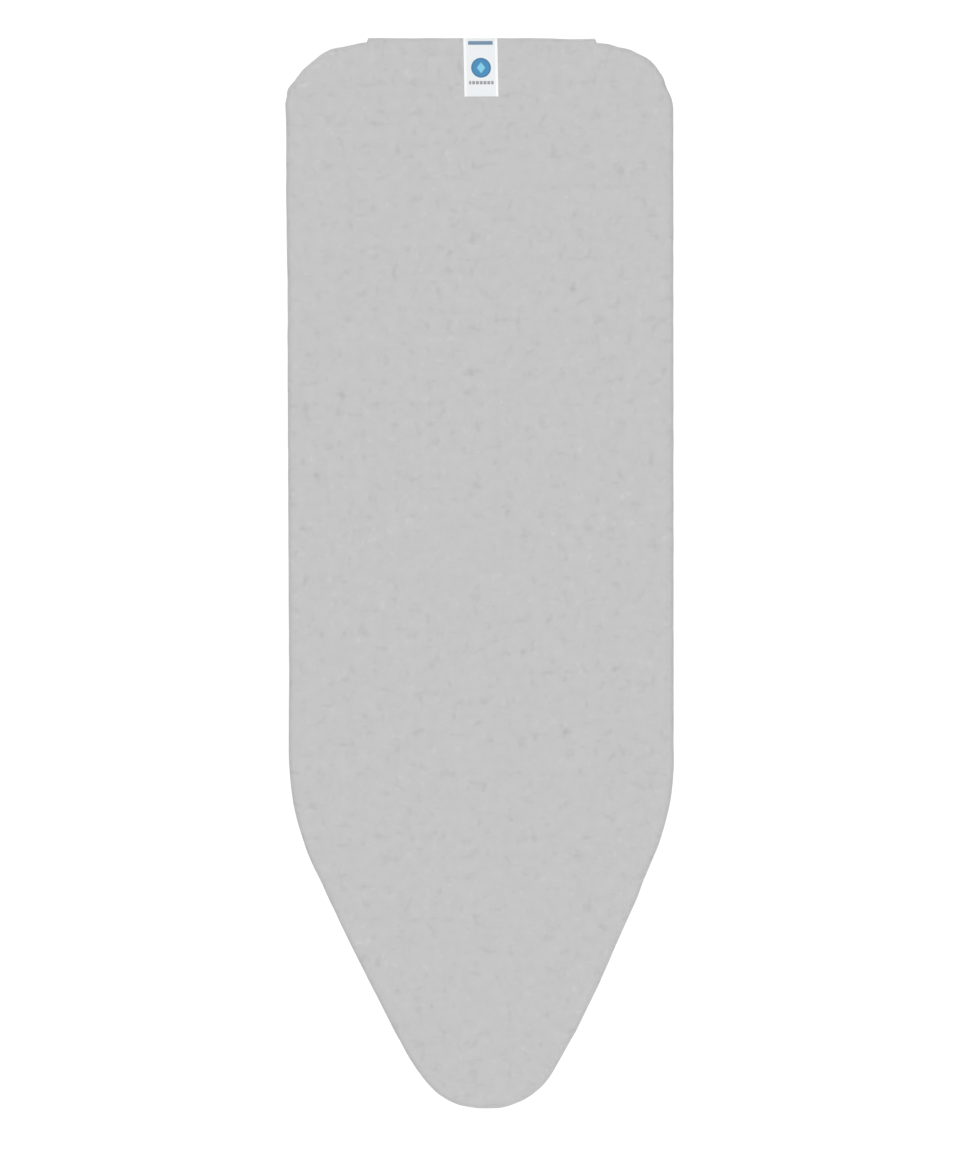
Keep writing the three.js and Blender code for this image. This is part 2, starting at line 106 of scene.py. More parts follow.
def newMaterial(name):
    material = bpy.data.materials.new(name)
    material.use_nodes = True
    material.node_tree.nodes.clear()
    return material, material.node_tree


def finishMaterial(material, color, roughness, normal=None, more=None):
    tree = material.node_tree
    inputs = {"Base Color": color, "Roughness": roughness, **(more or {})}
    if normal is not None:
        inputs["Normal"] = normal
    addNode(tree, "OutputMaterial", {"Surface": addNode(tree, "BsdfPrincipled", inputs)})
    return material


def smoothStep(low, high, value):
    share = np.clip((value - low) / (high - low), 0, 1)
    return share * share * (3 - 2 * share)


def waves(values, period, count, seed, shortest, longest):
    # a smooth random line that closes on itself after one period, about one high
    draw = np.random.default_rng(seed)
    low = max(int(period / longest), 1)
    high = max(int(period / shortest), low + 1)
    total = np.zeros_like(values, dtype=float)
    for _ in range(count):
        turns = draw.integers(low, high)
        total += draw.uniform(0.5, 1) * np.sin(2 * np.pi * (turns * values / period + draw.uniform()))
    return total / math.sqrt(count)


def unit(vectors):
    return vectors / np.linalg.norm(vectors, axis=-1, keepdims=True)


def runAlong(line):
    # how far along the line each of its points lies
    return np.concatenate([[0], np.cumsum(np.linalg.norm(np.diff(line, axis=0), axis=1))])


def atHeight(x, y, z):
    return np.column_stack([x, y, np.full(len(x), z)])


def addPiece(name, data):
    piece = bpy.data.objects.new(name, data)
    bpy.context.scene.collection.objects.link(piece)
    return piece


def rowsMesh(name, rows, rowsClose=False, loopsClose=True, uv=None):
    # rows: row, point, xyz in mm. The faces lie between neighbouring rows and point out where the rows go
    # out or down and the points run clockwise seen from above. uv: the same, one longer where rows close.
    rows = np.asarray(rows, float)
    rowCount, pointCount = rows.shape[:2]
    i, j = np.meshgrid(np.arange(rowCount - (not rowsClose)), np.arange(pointCount - (not loopsClose)),
                       indexing="ij")
    lines = np.stack([i, i, i + 1, i + 1], axis=-1).reshape(-1, 4)
    columns = np.stack([j, j + 1, j + 1, j], axis=-1).reshape(-1, 4)
    faces = lines % rowCount * pointCount + columns % pointCount
    mesh = bpy.data.meshes.new(name)
    mesh.from_pydata((rows.reshape(-1, 3) * mm).tolist(), [], faces.tolist())
    if uv is not None:
        layer = mesh.uv_layers.new(name="surface")
        layer.data.foreach_set("uv", (np.asarray(uv)[lines, columns] * mm).astype(np.float32).ravel())
    return addPiece(name, mesh)


def selectOnly(piece=None):
    for other in bpy.context.scene.objects:
        other.select_set(False)
    if piece:
        piece.select_set(True)
        bpy.context.view_layer.objects.active = piece


def editMesh(mesh, change):
    shape = bmesh.new()
    shape.from_mesh(mesh)
    change(shape)
    shape.to_mesh(mesh)
    shape.free()


def mergePoints(piece, distance=0.01):
    editMesh(piece.data, lambda shape: bmesh.ops.remove_doubles(shape, verts=shape.verts, dist=distance * mm))


def capEnds(piece):
    def fill(shape):
        bmesh.ops.holes_fill(shape, edges=[edge for edge in shape.edges if edge.is_boundary], sides=0)
        bmesh.ops.recalc_face_normals(shape, faces=shape.faces)

    editMesh(piece.data, fill)


def applyModifier(piece, kind, **settings):
    selectOnly(piece)
    modifier = piece.modifiers.new(kind.lower(), kind)
    for key, value in settings.items():
        setattr(modifier, key, value)
    bpy.ops.object.modifier_apply(modifier=modifier.name)


def dress(piece, material, body="cover", smooth=60):
    # smooth: up to how many degrees a bend between faces is shaded as round
    selectOnly(piece)
    bpy.ops.object.shade_smooth_by_angle(angle=math.radians(smooth))
    piece.data.materials.clear()
    piece.data.materials.append(material)
    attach(piece, body)


# The outline, as stations that run clockwise seen from above, from the middle of the rear edge

coverShape = {  # mm
    "length": clothHigh[1] - clothLow[1],
    "rearWidth": clothHigh[0] - clothLow[0],
    "height": clothHigh[2],
    "shoulderWidth": 447.6,
    "cornerRadius": 80,
    "shoulderRadius": 287,
    "noseToShoulder": 408.4,
    "taperRadius": 2573,
    "noseRadius": 93.4,
    # the straight hem at the rear stands proud of the gathered corners
    "rearProud": 7.5,
    "hemMiddleX": 2.9,
    "hemHalfWidth": 133,
    "hemStepRun": 2.4,
    "besideHem": 2.4,
    "besideHemRun": 20,
    "hemFineStart": 125,
    "proudFadeStart": 8,
    "proudFadeEnd": 40,
    "cornerFolds": 4,
    "noseSideFolds": 3,
    # the cloth is drawn a little to one side at the nose
    "leanX": 2.9,
    "leanStartY": -320,
    "leanEndY": -560,
    # uneven gathers push the edge out or let it in: where, how far and over what reach
    "bulges": [
        # the rear hem
        ((-120, 616), 0.6, 34), ((-138, 616), 0.6, 8), ((-50, 616), 0.4, 30), ((115, 616), -1.5, 30),
        # the left rear corner, then the right one
        ((-158, 614), -1.0, 9), ((-197, 598), -2.0, 15), ((-212, 580), -0.8, 9), ((-225, 549), 1.2, 7),
        ((-222, 564), 2.6, 7.5),
        ((152, 615), 0.8, 6), ((163, 613), -1.4, 12), ((184, 606), -0.7, 8), ((200, 595), 1.0, 12),
        ((221, 566), -2.0, 10),
        # the long sides and shoulders
        ((-225, 505), -0.6, 38), ((-225, 250), -0.6, 200), ((-225, 330), -0.7, 45), ((-224, -195), 0.9, 50),
        ((-216, -282), 0.6, 25), ((-200, -332), 1.3, 22),
        ((218, -258), 0.5, 34), ((205, -320), 0.6, 24), ((176, -388), 1.2, 30), ((143, -468), 1.0, 40),
        # the nose
        ((108, -525), 1.6, 48), ((66, -598), 1.2, 16), ((45, -613), 1.5, 16), ((21, -621), 1.1, 13),
        ((-40, -613), 0.9, 24), ((-73, -585), -1.2, 17), ((-95, -545), 0.8, 45),
    ],
}

rearLineY = coverShape["length"] / 2 - coverShape["rearProud"]
noseTipY = -coverShape["length"] / 2
cornerCentre = np.array([coverShape["rearWidth"] / 2 - coverShape["cornerRadius"],
                         rearLineY - coverShape["cornerRadius"]])


def touchingAngle(start, startRadius, end, endRadius):
    # the way out to the line that touches two circles
    way = end - start
    return math.atan2(way[1], way[0]) + math.acos((startRadius - endRadius) / np.hypot(*way))


def touchingArcCentre(a, aRadius, b, bRadius, radius):
    # the centre of the large arc that both circles touch from inside
    way = b - a
    span = np.hypot(*way)
    fromA = radius - aRadius
    fromB = radius - bRadius
    along = (fromA ** 2 - fromB ** 2 + span ** 2) / (2 * span)
    aside = math.sqrt(fromA ** 2 - along ** 2)
    way = way / span
    return np.array([a[0] + way[0] * along + way[1] * aside, a[1] + way[1] * along - way[0] * aside])


def lineRun(start, end, angle, spacing):
    share = np.linspace(0, 1, max(int(np.hypot(*(end - start)) / spacing), 1) + 1)[:, None]
    places = start + (end - start) * share
    still = np.zeros(len(places))
    return np.column_stack([places, np.full(len(places), angle), still, still])


def arcRun(centre, radius, start, end, spacing, gatherTurn=0.0, folds=0):
    share = np.linspace(0, 1, max(int(radius * abs(end - start) / spacing), 2) + 1)
    angle = start + (end - start) * share
    gather = np.sin(gatherTurn * share)
    fold = (1 - np.cos(2 * np.pi * folds * share)) / 2
    return np.column_stack([centre[0] + radius * np.cos(angle), centre[1] + radius * np.sin(angle),
                            angle, gather, fold])


def rightHalf(straight, curve):
    # the even outline from the middle of the rear edge to the tip of the nose, at these spacings in mm:
    # x, y, the angle of the way out, how gathered the cloth is and how high its large folds stand
    s = coverShape
    corner, shoulder, nose = s["cornerRadius"], s["shoulderRadius"], s["noseRadius"]
    shoulderCentre = np.array([s["shoulderWidth"] / 2 - shoulder, noseTipY + s["noseToShoulder"]])
    noseCentre = np.array([0, noseTipY + nose])
    taperCentre = touchingArcCentre(shoulderCentre, shoulder, noseCentre, nose, s["taperRadius"])
    sideAngle = touchingAngle(cornerCentre, corner, shoulderCentre, shoulder)
    shoulderAngle, taperAngle = (math.atan2(*(centre - taperCentre)[::-1])
                                 for centre in (shoulderCentre, noseCentre))
    out = np.array([math.cos(sideAngle), math.sin(sideAngle)])
    rearMiddle, hemEnd, rearEnd = (np.array([x, rearLineY]) for x in (0, s["hemFineStart"], cornerCentre[0]))
    runs = [
        lineRun(rearMiddle, hemEnd, math.pi / 2, straight),
        lineRun(hemEnd, rearEnd, math.pi / 2, curve / 2),
        arcRun(cornerCentre, corner, math.pi / 2, sideAngle, curve, math.pi, s["cornerFolds"]),
        lineRun(cornerCentre + corner * out, shoulderCentre + shoulder * out, sideAngle, straight),
        arcRun(shoulderCentre, shoulder, sideAngle, shoulderAngle, straight),
        arcRun(taperCentre, s["taperRadius"], shoulderAngle, taperAngle, straight),
        arcRun(noseCentre, nose, taperAngle, -math.pi / 2, curve, math.pi / 2, s["noseSideFolds"]),
    ]
    return np.vstack([runs[0]] + [run[1:] for run in runs[1:]])


def outline(straight, curve):
    s = coverShape
    right = rightHalf(straight, curve)
    left = right[1:-1][::-1].copy()
    left[:, 0] *= -1
    left[:, 2] = math.pi - left[:, 2]
    x, y, angle, gather, fold = np.vstack([right, left]).T
    past = np.abs(x - s["hemMiddleX"]) - s["hemHalfWidth"]
    beside = s["besideHem"] * smoothStep(s["besideHemRun"], 0, past)
    onHem = smoothStep(s["hemStepRun"] / 2, -s["hemStepRun"] / 2, past)
    proud = np.where(y > cornerCentre[1], beside + (s["rearProud"] - beside) * onHem, 0)
    for (bulgeX, bulgeY), height, reach in s["bulges"]:
        push = height * np.exp(-((x - bulgeX) ** 2 + (y - bulgeY) ** 2) / reach ** 2)
        x, y = x + np.cos(angle) * push, y + np.sin(angle) * push
    x = x + s["leanX"] * smoothStep(s["leanStartY"], s["leanEndY"], y)
    step = np.hypot(np.diff(x, append=x[0]), np.diff(y, append=y[0]))
    along = np.concatenate([[0], np.cumsum(step)[:-1]])
    return {"x": x, "y": y, "nx": np.cos(angle), "ny": np.sin(angle), "gather": gather, "fold": fold,
            "proud": proud, "along": along, "length": step.sum()}


def placeInside(o, inset):
    # where the outline lies at a distance inside it; the proud rear hem fades out on the way in
    start, end = coverShape["proudFadeStart"], coverShape["proudFadeEnd"]
    fade = np.clip((end - inset) / (end - start), 0, 1)
    return o["x"] - o["nx"] * inset, o["y"] - o["ny"] * inset + o["proud"] * fade


spine = {  # mm, the ends of the middle line that the top's rows run in to
    "rearY": rearLineY - 215,
    "noseY": noseTipY + 175,
}


def insideRows(o, inset, z, count):
    # rows from the middle line out to a distance inside the outline, all at one height
    x, y = placeInside(o, inset)
    middleY = np.clip(y, spine["noseY"], spine["rearY"])
    return [atHeight(x * share, middleY + (y - middleY) * share, z)
            for share in np.linspace(0, 1, count + 1)[:-1]]


# How gathered cloth lies: narrow pleats side by side, each with its own height

pleats = {
    "straightSpacing": 36,  # mm between pleats where the cloth runs straight
    "gatheredSpacing": 12,  # mm between pleats at the corners and the nose
    "uneven": 0.55,
    "lowest": 0.25,
    "slant": 0.35,
    "skirtSharpness": 0.8,
    "wallSharpness": 0.75,
    "seed": 5,
}


def pleatPhase(o):
    strength = np.sqrt(o["gather"])
    spacing = pleats["straightSpacing"] + (pleats["gatheredSpacing"] - pleats["straightSpacing"]) * strength
    wander = waves(o["along"], o["length"], count=9, seed=21, shortest=25, longest=140)
    spacing = spacing * (1 + pleats["uneven"] * wander / 2)
    step = np.diff(o["along"], append=o["length"])
    phase = np.concatenate([[0], np.cumsum(step / spacing)])
    return phase[:-1] * round(phase[-1]) / phase[-1], round(phase[-1])


def pleatField(o, share, sharpness):
    # ridges between 0 and 1 that lean a little as they run in
    phase, count = pleatPhase(o)
    lean = waves(o["along"], o["length"], count=7, seed=33, shortest=60, longest=300)
    phase = phase + pleats["slant"] * share * lean
    heights = np.random.default_rng(pleats["seed"]).uniform(pleats["lowest"], 1, count)
    return heights[np.floor(phase).astype(int) % count] * np.abs(np.sin(np.pi * phase)) ** sharpness


# The cover cloth: top, rounded edges, side wall and the gathered skirt, one sheet with its own thickness

coverCloth = {  # mm, and shares of the skirt's width from its flat band to the rim
    "thickness": 0.7,
    "spacings": (6.5, 1.45),  # between stations on straight runs and on curves
    "middleRows": 12,
    "topInsets": [40, 32, 25, 19, 14, 10.5],
    "topWave": 0.16,
    "topWaveCount": 14,
    "topWaveLengths": (70, 190),
    "flatHalfWidth": 28,
    "flatFrontY": 548,
    "flatSoft": 30,
    "topEdge": 8,
    "topEdgeRows": 7,
    "wallRows": 8,
    "wallWave": 0.3,
    "wallWaveLeast": 0.45,
    "wallPucker": 3.6,
    "wallPuckerStraight": 0.5,
    "wallPuckerTop": 34,
    "wallPuckerEnd": 30,
    "lowEdge": 6,
    "lowEdgeRows": 5,
    "lowEdgeLift": 0.6,
    "lowestZ": 0.1,
    "skirtRows": 18,
    "skirtFlat": 14,
    "skirtWidth": 52.6,
    "skirtLowestZ": 0.12,
    "rimRise": 3.4,
    "foldHeight": 11,
    "foldDrop": 3,
    "foldPeakShare": 0.74,
    "foldPower": 1.5,
    "foldSettle": 0.75,
    "pleatHeight": 3.6,
    "pleatStraight": 1.1,
    "pleatMiddle": 0.4,
    "pleatSettle": 0.85,
    "pleatSettleShares": (0.72, 0.97),
    "seamZ": 3.75,
    "seamShares": (0.8, 0.97),
}


def topWave(x, y):
    # the face of the pad is never quite flat; it is flat under the label
    c = coverCloth
    draw = np.random.default_rng(11)
    total = np.zeros_like(x)
    for _ in range(c["topWaveCount"]):
        length = draw.uniform(*c["topWaveLengths"])
        angle = draw.uniform(0, math.pi)
        total += np.sin(2 * np.pi * ((x * math.cos(angle) + y * math.sin(angle)) / length + draw.uniform()))
    nearLabel = (smoothStep(c["flatHalfWidth"] + c["flatSoft"], c["flatHalfWidth"], np.abs(x))
                 * smoothStep(c["flatFrontY"] - c["flatSoft"], c["flatFrontY"], y))
    return c["topWave"] * total / math.sqrt(c["topWaveCount"]) * (1 - nearLabel)


def skirtHeight(o, inset):
    c = coverCloth
    share = np.clip((inset - c["skirtFlat"]) / (c["skirtWidth"] - c["skirtFlat"]), 0, 1)
    settled = 1 - c["foldSettle"] * smoothStep(c["foldPeakShare"], 1, share)
    large = o["gather"] * (c["foldHeight"] * o["fold"] - c["foldDrop"]) * settled
    ridges = pleatField(o, share, pleats["skirtSharpness"]) - c["pleatMiddle"]
    small = (c["pleatStraight"] + c["pleatHeight"] * o["gather"]) * ridges
    small = small * (1 - c["pleatSettle"] * smoothStep(*c["pleatSettleShares"], share))
    height = share ** c["foldPower"] * (c["rimRise"] + large + small)
    seam = smoothStep(*c["seamShares"], share)
    return np.maximum(height * (1 - seam) + c["seamZ"] * seam, c["skirtLowestZ"])


def clothSections():
    # across the cloth, from the top's edge to the rim: how far inside the outline, at what height (none
    # where the skirt has its own) and which way it faces, from straight up through outwards to straight down
    c = coverCloth
    height, high, low = coverShape["height"], c["topEdge"], c["lowEdge"]
    sections = [(inset, height, math.pi / 2) for inset in c["topInsets"]]
    sections += [(high * (1 - math.cos(a)), height - high + high * math.sin(a), a)
                 for a in np.linspace(math.pi / 2, 0, c["topEdgeRows"] + 1)]
    sections += [(0, z, 0) for z in np.linspace(height - high, low, c["wallRows"] + 1)[1:]]
    sections += [(low * (1 - math.cos(a)), low * (1 + math.sin(a)), a)
                 for a in np.linspace(0, -math.pi / 2, c["lowEdgeRows"] + 1)[1:]]
    return sections + [(inset, None, -math.pi / 2)
                       for inset in np.linspace(low, c["skirtWidth"], c["skirtRows"] + 1)[1:]]


def makeCoverCloth(material):
    c = coverCloth
    o = outline(*c["spacings"])
    height = coverShape["height"]
    crease = 1 - pleatField(o, 0.0, pleats["wallSharpness"])
    pucker = (c["wallPuckerStraight"] + c["wallPucker"] * o["gather"]) * crease
    wave = c["wallWave"] * waves(o["along"], o["length"], count=16, seed=3, shortest=28, longest=170)
    rows = insideRows(o, c["topInsets"][0], height, c["middleRows"])
    developed = [row[:, :2] for row in rows]
    run = -c["topInsets"][0]
    last = (c["topInsets"][0], height)
    for inset, z, angle in clothSections():
        x, y = placeInside(o, inset)
        under = z is None
        level = 0 if under else z
        rowZ = skirtHeight(o, inset) if under else level
        run += math.hypot(inset - last[0], level - last[1])
        last = (inset, level)
        weight = smoothStep(c["wallPuckerTop"], c["lowEdge"], level)
        skirtFade = 1 - smoothStep(c["lowEdge"], c["wallPuckerEnd"], inset) if under else 1.0
        inward = pucker * weight * skirtFade
        outward = wave * math.cos(angle) * (c["wallWaveLeast"] + (1 - c["wallWaveLeast"]) * weight)
        shift = outward - inward
        rowZ = rowZ + math.sin(angle) * (shift if angle > 0 else -c["lowEdgeLift"] * inward)
        if angle < 0:
            rowZ = np.maximum(rowZ, c["lowestZ"])
        rows.append(np.column_stack([x + o["nx"] * math.cos(angle) * shift,
                                     y + o["ny"] * math.cos(angle) * shift, rowZ]))
        hem = o["proud"] * smoothStep(-c["topInsets"][0], 0, run)
        developed.append(np.column_stack([o["x"] + o["nx"] * run, o["y"] + o["ny"] * run + hem]))
    rows = np.array(rows)
    rows[:, :, 2] += np.where(rows[:, :, 2] > height - c["topEdge"], topWave(rows[:, :, 0], rows[:, :, 1]), 0)
    developed = np.array(developed)
    piece = rowsMesh("cover_cloth_sewn", rows, uv=np.concatenate([developed, developed[:, :1]], axis=1))
    mergePoints(piece)
    applyModifier(piece, "SOLIDIFY", thickness=c["thickness"] * mm, offset=-1, use_even_offset=False)
    dress(piece, material)
    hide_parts("cover_cloth")
    return piece


def declareCloth():
    # works out the cloth's outline at its spacings and does nothing more with it
    o = outline(*coverCloth["spacings"])


# The foam and felt layers, closed pads with soft edges

padLayers = {  # mm
    "foam_pad": {"node": "foam_layer", "slot": "foam", "fill": 0.9, "wave": 0.06, "edge": 0.9},
    "felt_pad": {"node": "felt_layer", "slot": "felt", "fill": 0.8, "wave": 0.14, "edge": 1.1},
    "spacings": (12, 6),
    "middleRows": 26,
    "sideRows": 7,
    "edgePower": 4,
    "edgeGap": 0.6,
    "clothThickness": 0.8,
    "seed": 8,
}


def makePadLayer(name, material):
    s = padLayers
    layer = s[name]
    low, high = (corner[2] for corner in boxOf(layer["node"]))
    o = outline(*s["spacings"])
    centreZ = coverShape["height"] - coverCloth["topEdge"]
    radius = coverCloth["topEdge"] - s["clothThickness"] - s["edgeGap"]
    edge = layer["edge"]

    def insetAt(z):
        # where the cloth's rounded edge leaves room for the layer at this height
        rise = min(max(z - centreZ, 0), radius)
        return coverCloth["topEdge"] - math.sqrt(radius ** 2 - rise ** 2)

    rows = insideRows(o, insetAt(high) + edge, high, s["middleRows"])
    for z in np.linspace(high, low, s["sideRows"]):
        squeeze = edge * (2 * abs(z - (high + low) / 2) / (high - low)) ** s["edgePower"]
        rows.append(atHeight(*placeInside(o, insetAt(z) + squeeze), z))
    rows = np.array(rows + insideRows(o, insetAt(low) + edge, low, s["middleRows"])[::-1])
    draw = np.random.default_rng(s["seed"])
    dips = np.abs(layer["wave"] * draw.uniform(-1, 1, rows.shape[:2]))
    nearly = 0.01
    rows[:, :, 2] += (np.where(rows[:, :, 2] <= low + nearly, dips, 0)
                      - np.where(rows[:, :, 2] >= high - nearly, dips, 0))
    rows[0, :, 2] = high
    rows[-1, :, 2] = low
    piece = rowsMesh(name, rows)
    mergePoints(piece)
    dress(piece, material)
    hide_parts(layer["node"])


# The binding tape: a gathered tunnel round the drawcord with two lips that hold the skirt's rim

tape = {  # mm
    "spacings": (1.7, 1.7),
    "rimInset": 57,
    "z": 4.2,
    "thickness": 0.5,
    "ruffleStraight": 0.13,
    "ruffle": 0.42,
    "ruffleLength": 3.4,
    "ruffleUneven": [(0.2, 17), (0.15, 5.3)],
    "ruffleLag": 0.35,
    "ruffleFrom": 7.2,
    "ruffleFull": 4.4,
    "mouthHalfGap": 35,
    "strapY": 120,
    "strapHalfGap": 20,
    "stitchOut": 6.2,
    "stitchUp": 1.02,
    "stitchPitch": 3.1,
    "stitchLength": 2.4,
    "stitchWidth": 0.4,
    # out towards the skirt and up, from the cord's middle
    "section": [(7.6, -0.95), (6.4, -1.0), (5.2, -1.1), (4.0, -1.7), (2.4, -2.4), (0.6, -2.75), (-1.4, -2.6),
                (-3.0, -1.9), (-3.9, -0.7), (-3.9, 0.7), (-3.0, 1.9), (-1.4, 2.6), (0.6, 2.75), (2.4, 2.4),
                (4.0, 1.7), (5.2, 1.15), (6.4, 1.05), (7.6, 1.0)],
}


def atMouth(x, y):
    # between the two rear tapes, where the cord comes out
    return (y > cornerCentre[1]) & (np.abs(x) < tape["mouthHalfGap"])


def tapeRun(o, side):
    # the stations of one tape, in order: "nose" below the strap, "right" or "left" above it
    x, y = placeInside(o, tape["rimInset"])
    if side == "nose":
        return np.flatnonzero(y < tape["strapY"] - tape["strapHalfGap"])
    above = y > tape["strapY"] + tape["strapHalfGap"]
    return np.flatnonzero(above & ~atMouth(x, y) & ((x > 0) == (side == "right")))


def makeTape(node, o, picked, material):
    s = tape
    x, y = placeInside(o, s["rimInset"])
    x, y, nx, ny, gather = (values[picked] for values in (x, y, o["nx"], o["ny"], o["gather"]))
    rimStep = np.hypot(np.diff(x, prepend=x[0]), np.diff(y, prepend=y[0]))
    rimAlong = np.cumsum(rimStep)
    depth = s["ruffleStraight"] + (s["ruffle"] - s["ruffleStraight"]) * gather
    uneven = sum(share * np.sin(rimAlong / length) for share, length in s["ruffleUneven"])
    phase = np.cumsum(rimStep / (s["ruffleLength"] * (1 + uneven)))
    rows = []
    uv = []
    for k, ((out, up), across) in enumerate(zip(s["section"], runAlong(s["section"]))):
        free = smoothStep(s["ruffleFrom"], s["ruffleFull"], out)
        shift = depth * np.sin(2 * np.pi * phase + s["ruffleLag"] * k) * free
        grown = 1 + shift / math.hypot(out, up)
        rows.append(np.column_stack([x + nx * out * grown, y + ny * out * grown, s["z"] + up * grown]))
        uv.append(np.column_stack([rimAlong, np.full(len(x), across)]))
    piece = rowsMesh(node.replace("cord_casing", "tape"), rows, loopsClose=False, uv=uv)
    applyModifier(piece, "SOLIDIFY", thickness=s["thickness"] * mm, offset=-1)
    dress(piece, material)
    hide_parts(node)
    return piece, rimAlong[-1]


def makeTapes(material, thread):
    o = outline(*tape["spacings"])
    runs = {"nose": "cord_casing_nose", "right": "cord_casing_rear_right", "left": "cord_casing_rear_left"}
    stitchX, stitchY = placeInside(o, tape["rimInset"] - tape["stitchOut"])
    lines = []
    pieces = []
    for side, node in runs.items():
        picked = tapeRun(o, side)
        piece, length = makeTape(node, o, picked, material)
        pieces.append(piece)
        print("tape", side, round(length), "mm")
        lines += [(atHeight(stitchX, stitchY, tape["z"] + up * tape["stitchUp"])[picked], (0, 0, up))
                  for up in (-1, 1)]
    pieces.append(stitchAlong("tape_stitches", lines, tape, thread))
    return pieces


# Round cords and wires: a ring of points swept along a line

def sweep(name, line, radius, sides, upright=(0.0, 0.0, 1.0)):
    ahead = unit(np.gradient(line, axis=0))
    side = unit(np.cross(ahead, np.tile(upright, (len(line), 1))))
    up = np.cross(side, ahead)
    turns = 2 * np.pi * np.arange(sides + 1) / sides
    rows = [line + radius * (math.cos(turn) * side + math.sin(turn) * up) for turn in turns[:-1]]
    uv = [np.column_stack([runAlong(line), np.full(len(line), radius * turn)]) for turn in turns]
    piece = rowsMesh(name, rows, rowsClose=True, loopsClose=False, uv=uv)
    capEnds(piece)
    return piece


drawcord = {  # mm
    "diameter": 3.2,
    "turnRadius": 12,
    "lockSpacing": 6.8,
    "sides": 14,
    "spacings": (2.5, 2.5),
    "tailSteps": 13,
    "turnSteps": 12,
    "climbSteps": 10,
}


def makeDrawcord(material):
    s = drawcord
    z = tape["z"]
    x, y = placeInside(outline(*s["spacings"]), tape["rimInset"])
    keep = ~atMouth(x, y)
    order = np.roll(np.arange(len(x)), -int(np.argmax(keep & (x > 0))))
    rim = atHeight(x, y, z)[order[keep[order]]]
    endMiddle = sum(boxOf("cord_end")) / 2
    radius = s["turnRadius"]
    tailTop = rearLineY - tape["rimInset"] - radius

    def tail(side):
        # from the cord end through the lock, round to the side and up or down to the tape's mouth
        tailZ = endMiddle[2] + side * s["lockSpacing"] / 2
        straight = np.linspace(endMiddle[1], tailTop, s["tailSteps"] + 1)[:-1]
        turn = np.linspace(math.pi, math.pi / 2, s["turnSteps"])
        share = np.linspace(0, 1, s["climbSteps"] + 2)[1:-1]
        climb = np.column_stack([radius + (tape["mouthHalfGap"] - radius) * share,
                                 np.full(len(share), tailTop + radius),
                                 tailZ + (z - tailZ) * smoothStep(0, 1, share)])
        return np.vstack([atHeight(0 * straight, straight, tailZ),
                          atHeight(radius + radius * np.cos(turn), tailTop + radius * np.sin(turn), tailZ),
                          climb])

    line = np.vstack([tail(-1), rim, tail(1)[::-1] * [-1, 1, 1]])
    piece = sweep("drawcord_braid", line, s["diameter"] / 2, s["sides"])
    dress(piece, material)
    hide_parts("drawcord")
    return runAlong(line)[-1]


# Thread: one stitch is modelled once, then copied along a line

def oneStitch(length, width):
    # a short round bar of thread, along X, whose ends dip into the cloth
    selectOnly()
    bpy.ops.mesh.primitive_uv_sphere_add(segments=6, ring_count=5, radius=0.5)
    stitch = bpy.context.object
    bpy.ops.object.mode_set(mode="EDIT")
    bpy.ops.mesh.select_all(action="SELECT")
    bpy.ops.transform.rotate(value=math.pi / 2, orient_axis="Y", center_override=(0, 0, 0))
    bpy.ops.transform.resize(value=(length, width, width), center_override=(0, 0, 0))
    bpy.ops.object.mode_set(mode="OBJECT")
    points = np.array([vertex.co for vertex in stitch.data.vertices])
    points[:, 2] -= 0.5 * width * (2 * points[:, 0] / length) ** 4
    faces = [list(face.vertices) for face in stitch.data.polygons]
    bpy.data.objects.remove(stitch)
    return points, faces


def stitchAlong(name, lines, settings, material):
    # lines: each is a row of points and the way that is up from the cloth there
    shape, shapeFaces = oneStitch(settings["stitchLength"], settings["stitchWidth"])
    pitch = settings["stitchPitch"]
    points = []
    for line, up in lines:
        line = np.asarray(line, float)
        run = runAlong(line)
        count = max(int(run[-1] / pitch), 1)
        middles = (np.arange(count) + 0.5) * run[-1] / count
        at, before, after = (np.column_stack([np.interp(middles + shift, run, axis) for axis in line.T])
                             for shift in (0, -pitch / 4, pitch / 4))
        ahead = unit(after - before)
        side = unit(np.cross(np.broadcast_to(np.asarray(up, float), ahead.shape), ahead))
        axes = (ahead, side, np.cross(ahead, side))
        turned = sum(shape[None, :, k:k + 1] * axis[:, None] for k, axis in enumerate(axes))
        points.append((at[:, None] + turned).reshape(-1, 3))
    points = np.vstack(points)
    copies = len(points) // len(shape)
    faces = [[corner + k * len(shape) for corner in face] for k in range(copies) for face in shapeFaces]
    mesh = bpy.data.meshes.new(name)
    mesh.from_pydata((points * mm).tolist(), [], faces)
    piece = addPiece(name, mesh)
    dress(piece, material, smooth=80)
    return piece


# The label: a satin strip sewn on by the rear edge, over the rounded edge at its far end

label = {  # mm
    "middleX": 1.9,
    "skew": 0.017,  # mm to the right for each mm from the rear edge
    "width": 39.6,
    "length": 69,
    "thickness": 0.4,
    "lift": 0.08,
    "overEdge": math.radians(60),
    "overEdgeRows": 8,
    "step": 1.0,
    "selvedge": 1.6,
    "selvedgeSoft": 0.6,
    "selvedgeRise": 0.12,
    "wave": 0.05,
    "waveAcross": 5.5,
    "waveAlong": 9,
    "wavePhase": 0.4,
    "stitchInset": 2.4,
    "stitchLift": 0.02,
    "stitchPitch": 3.0,
    "stitchLength": 2.1,
    "stitchWidth": 0.32,
}


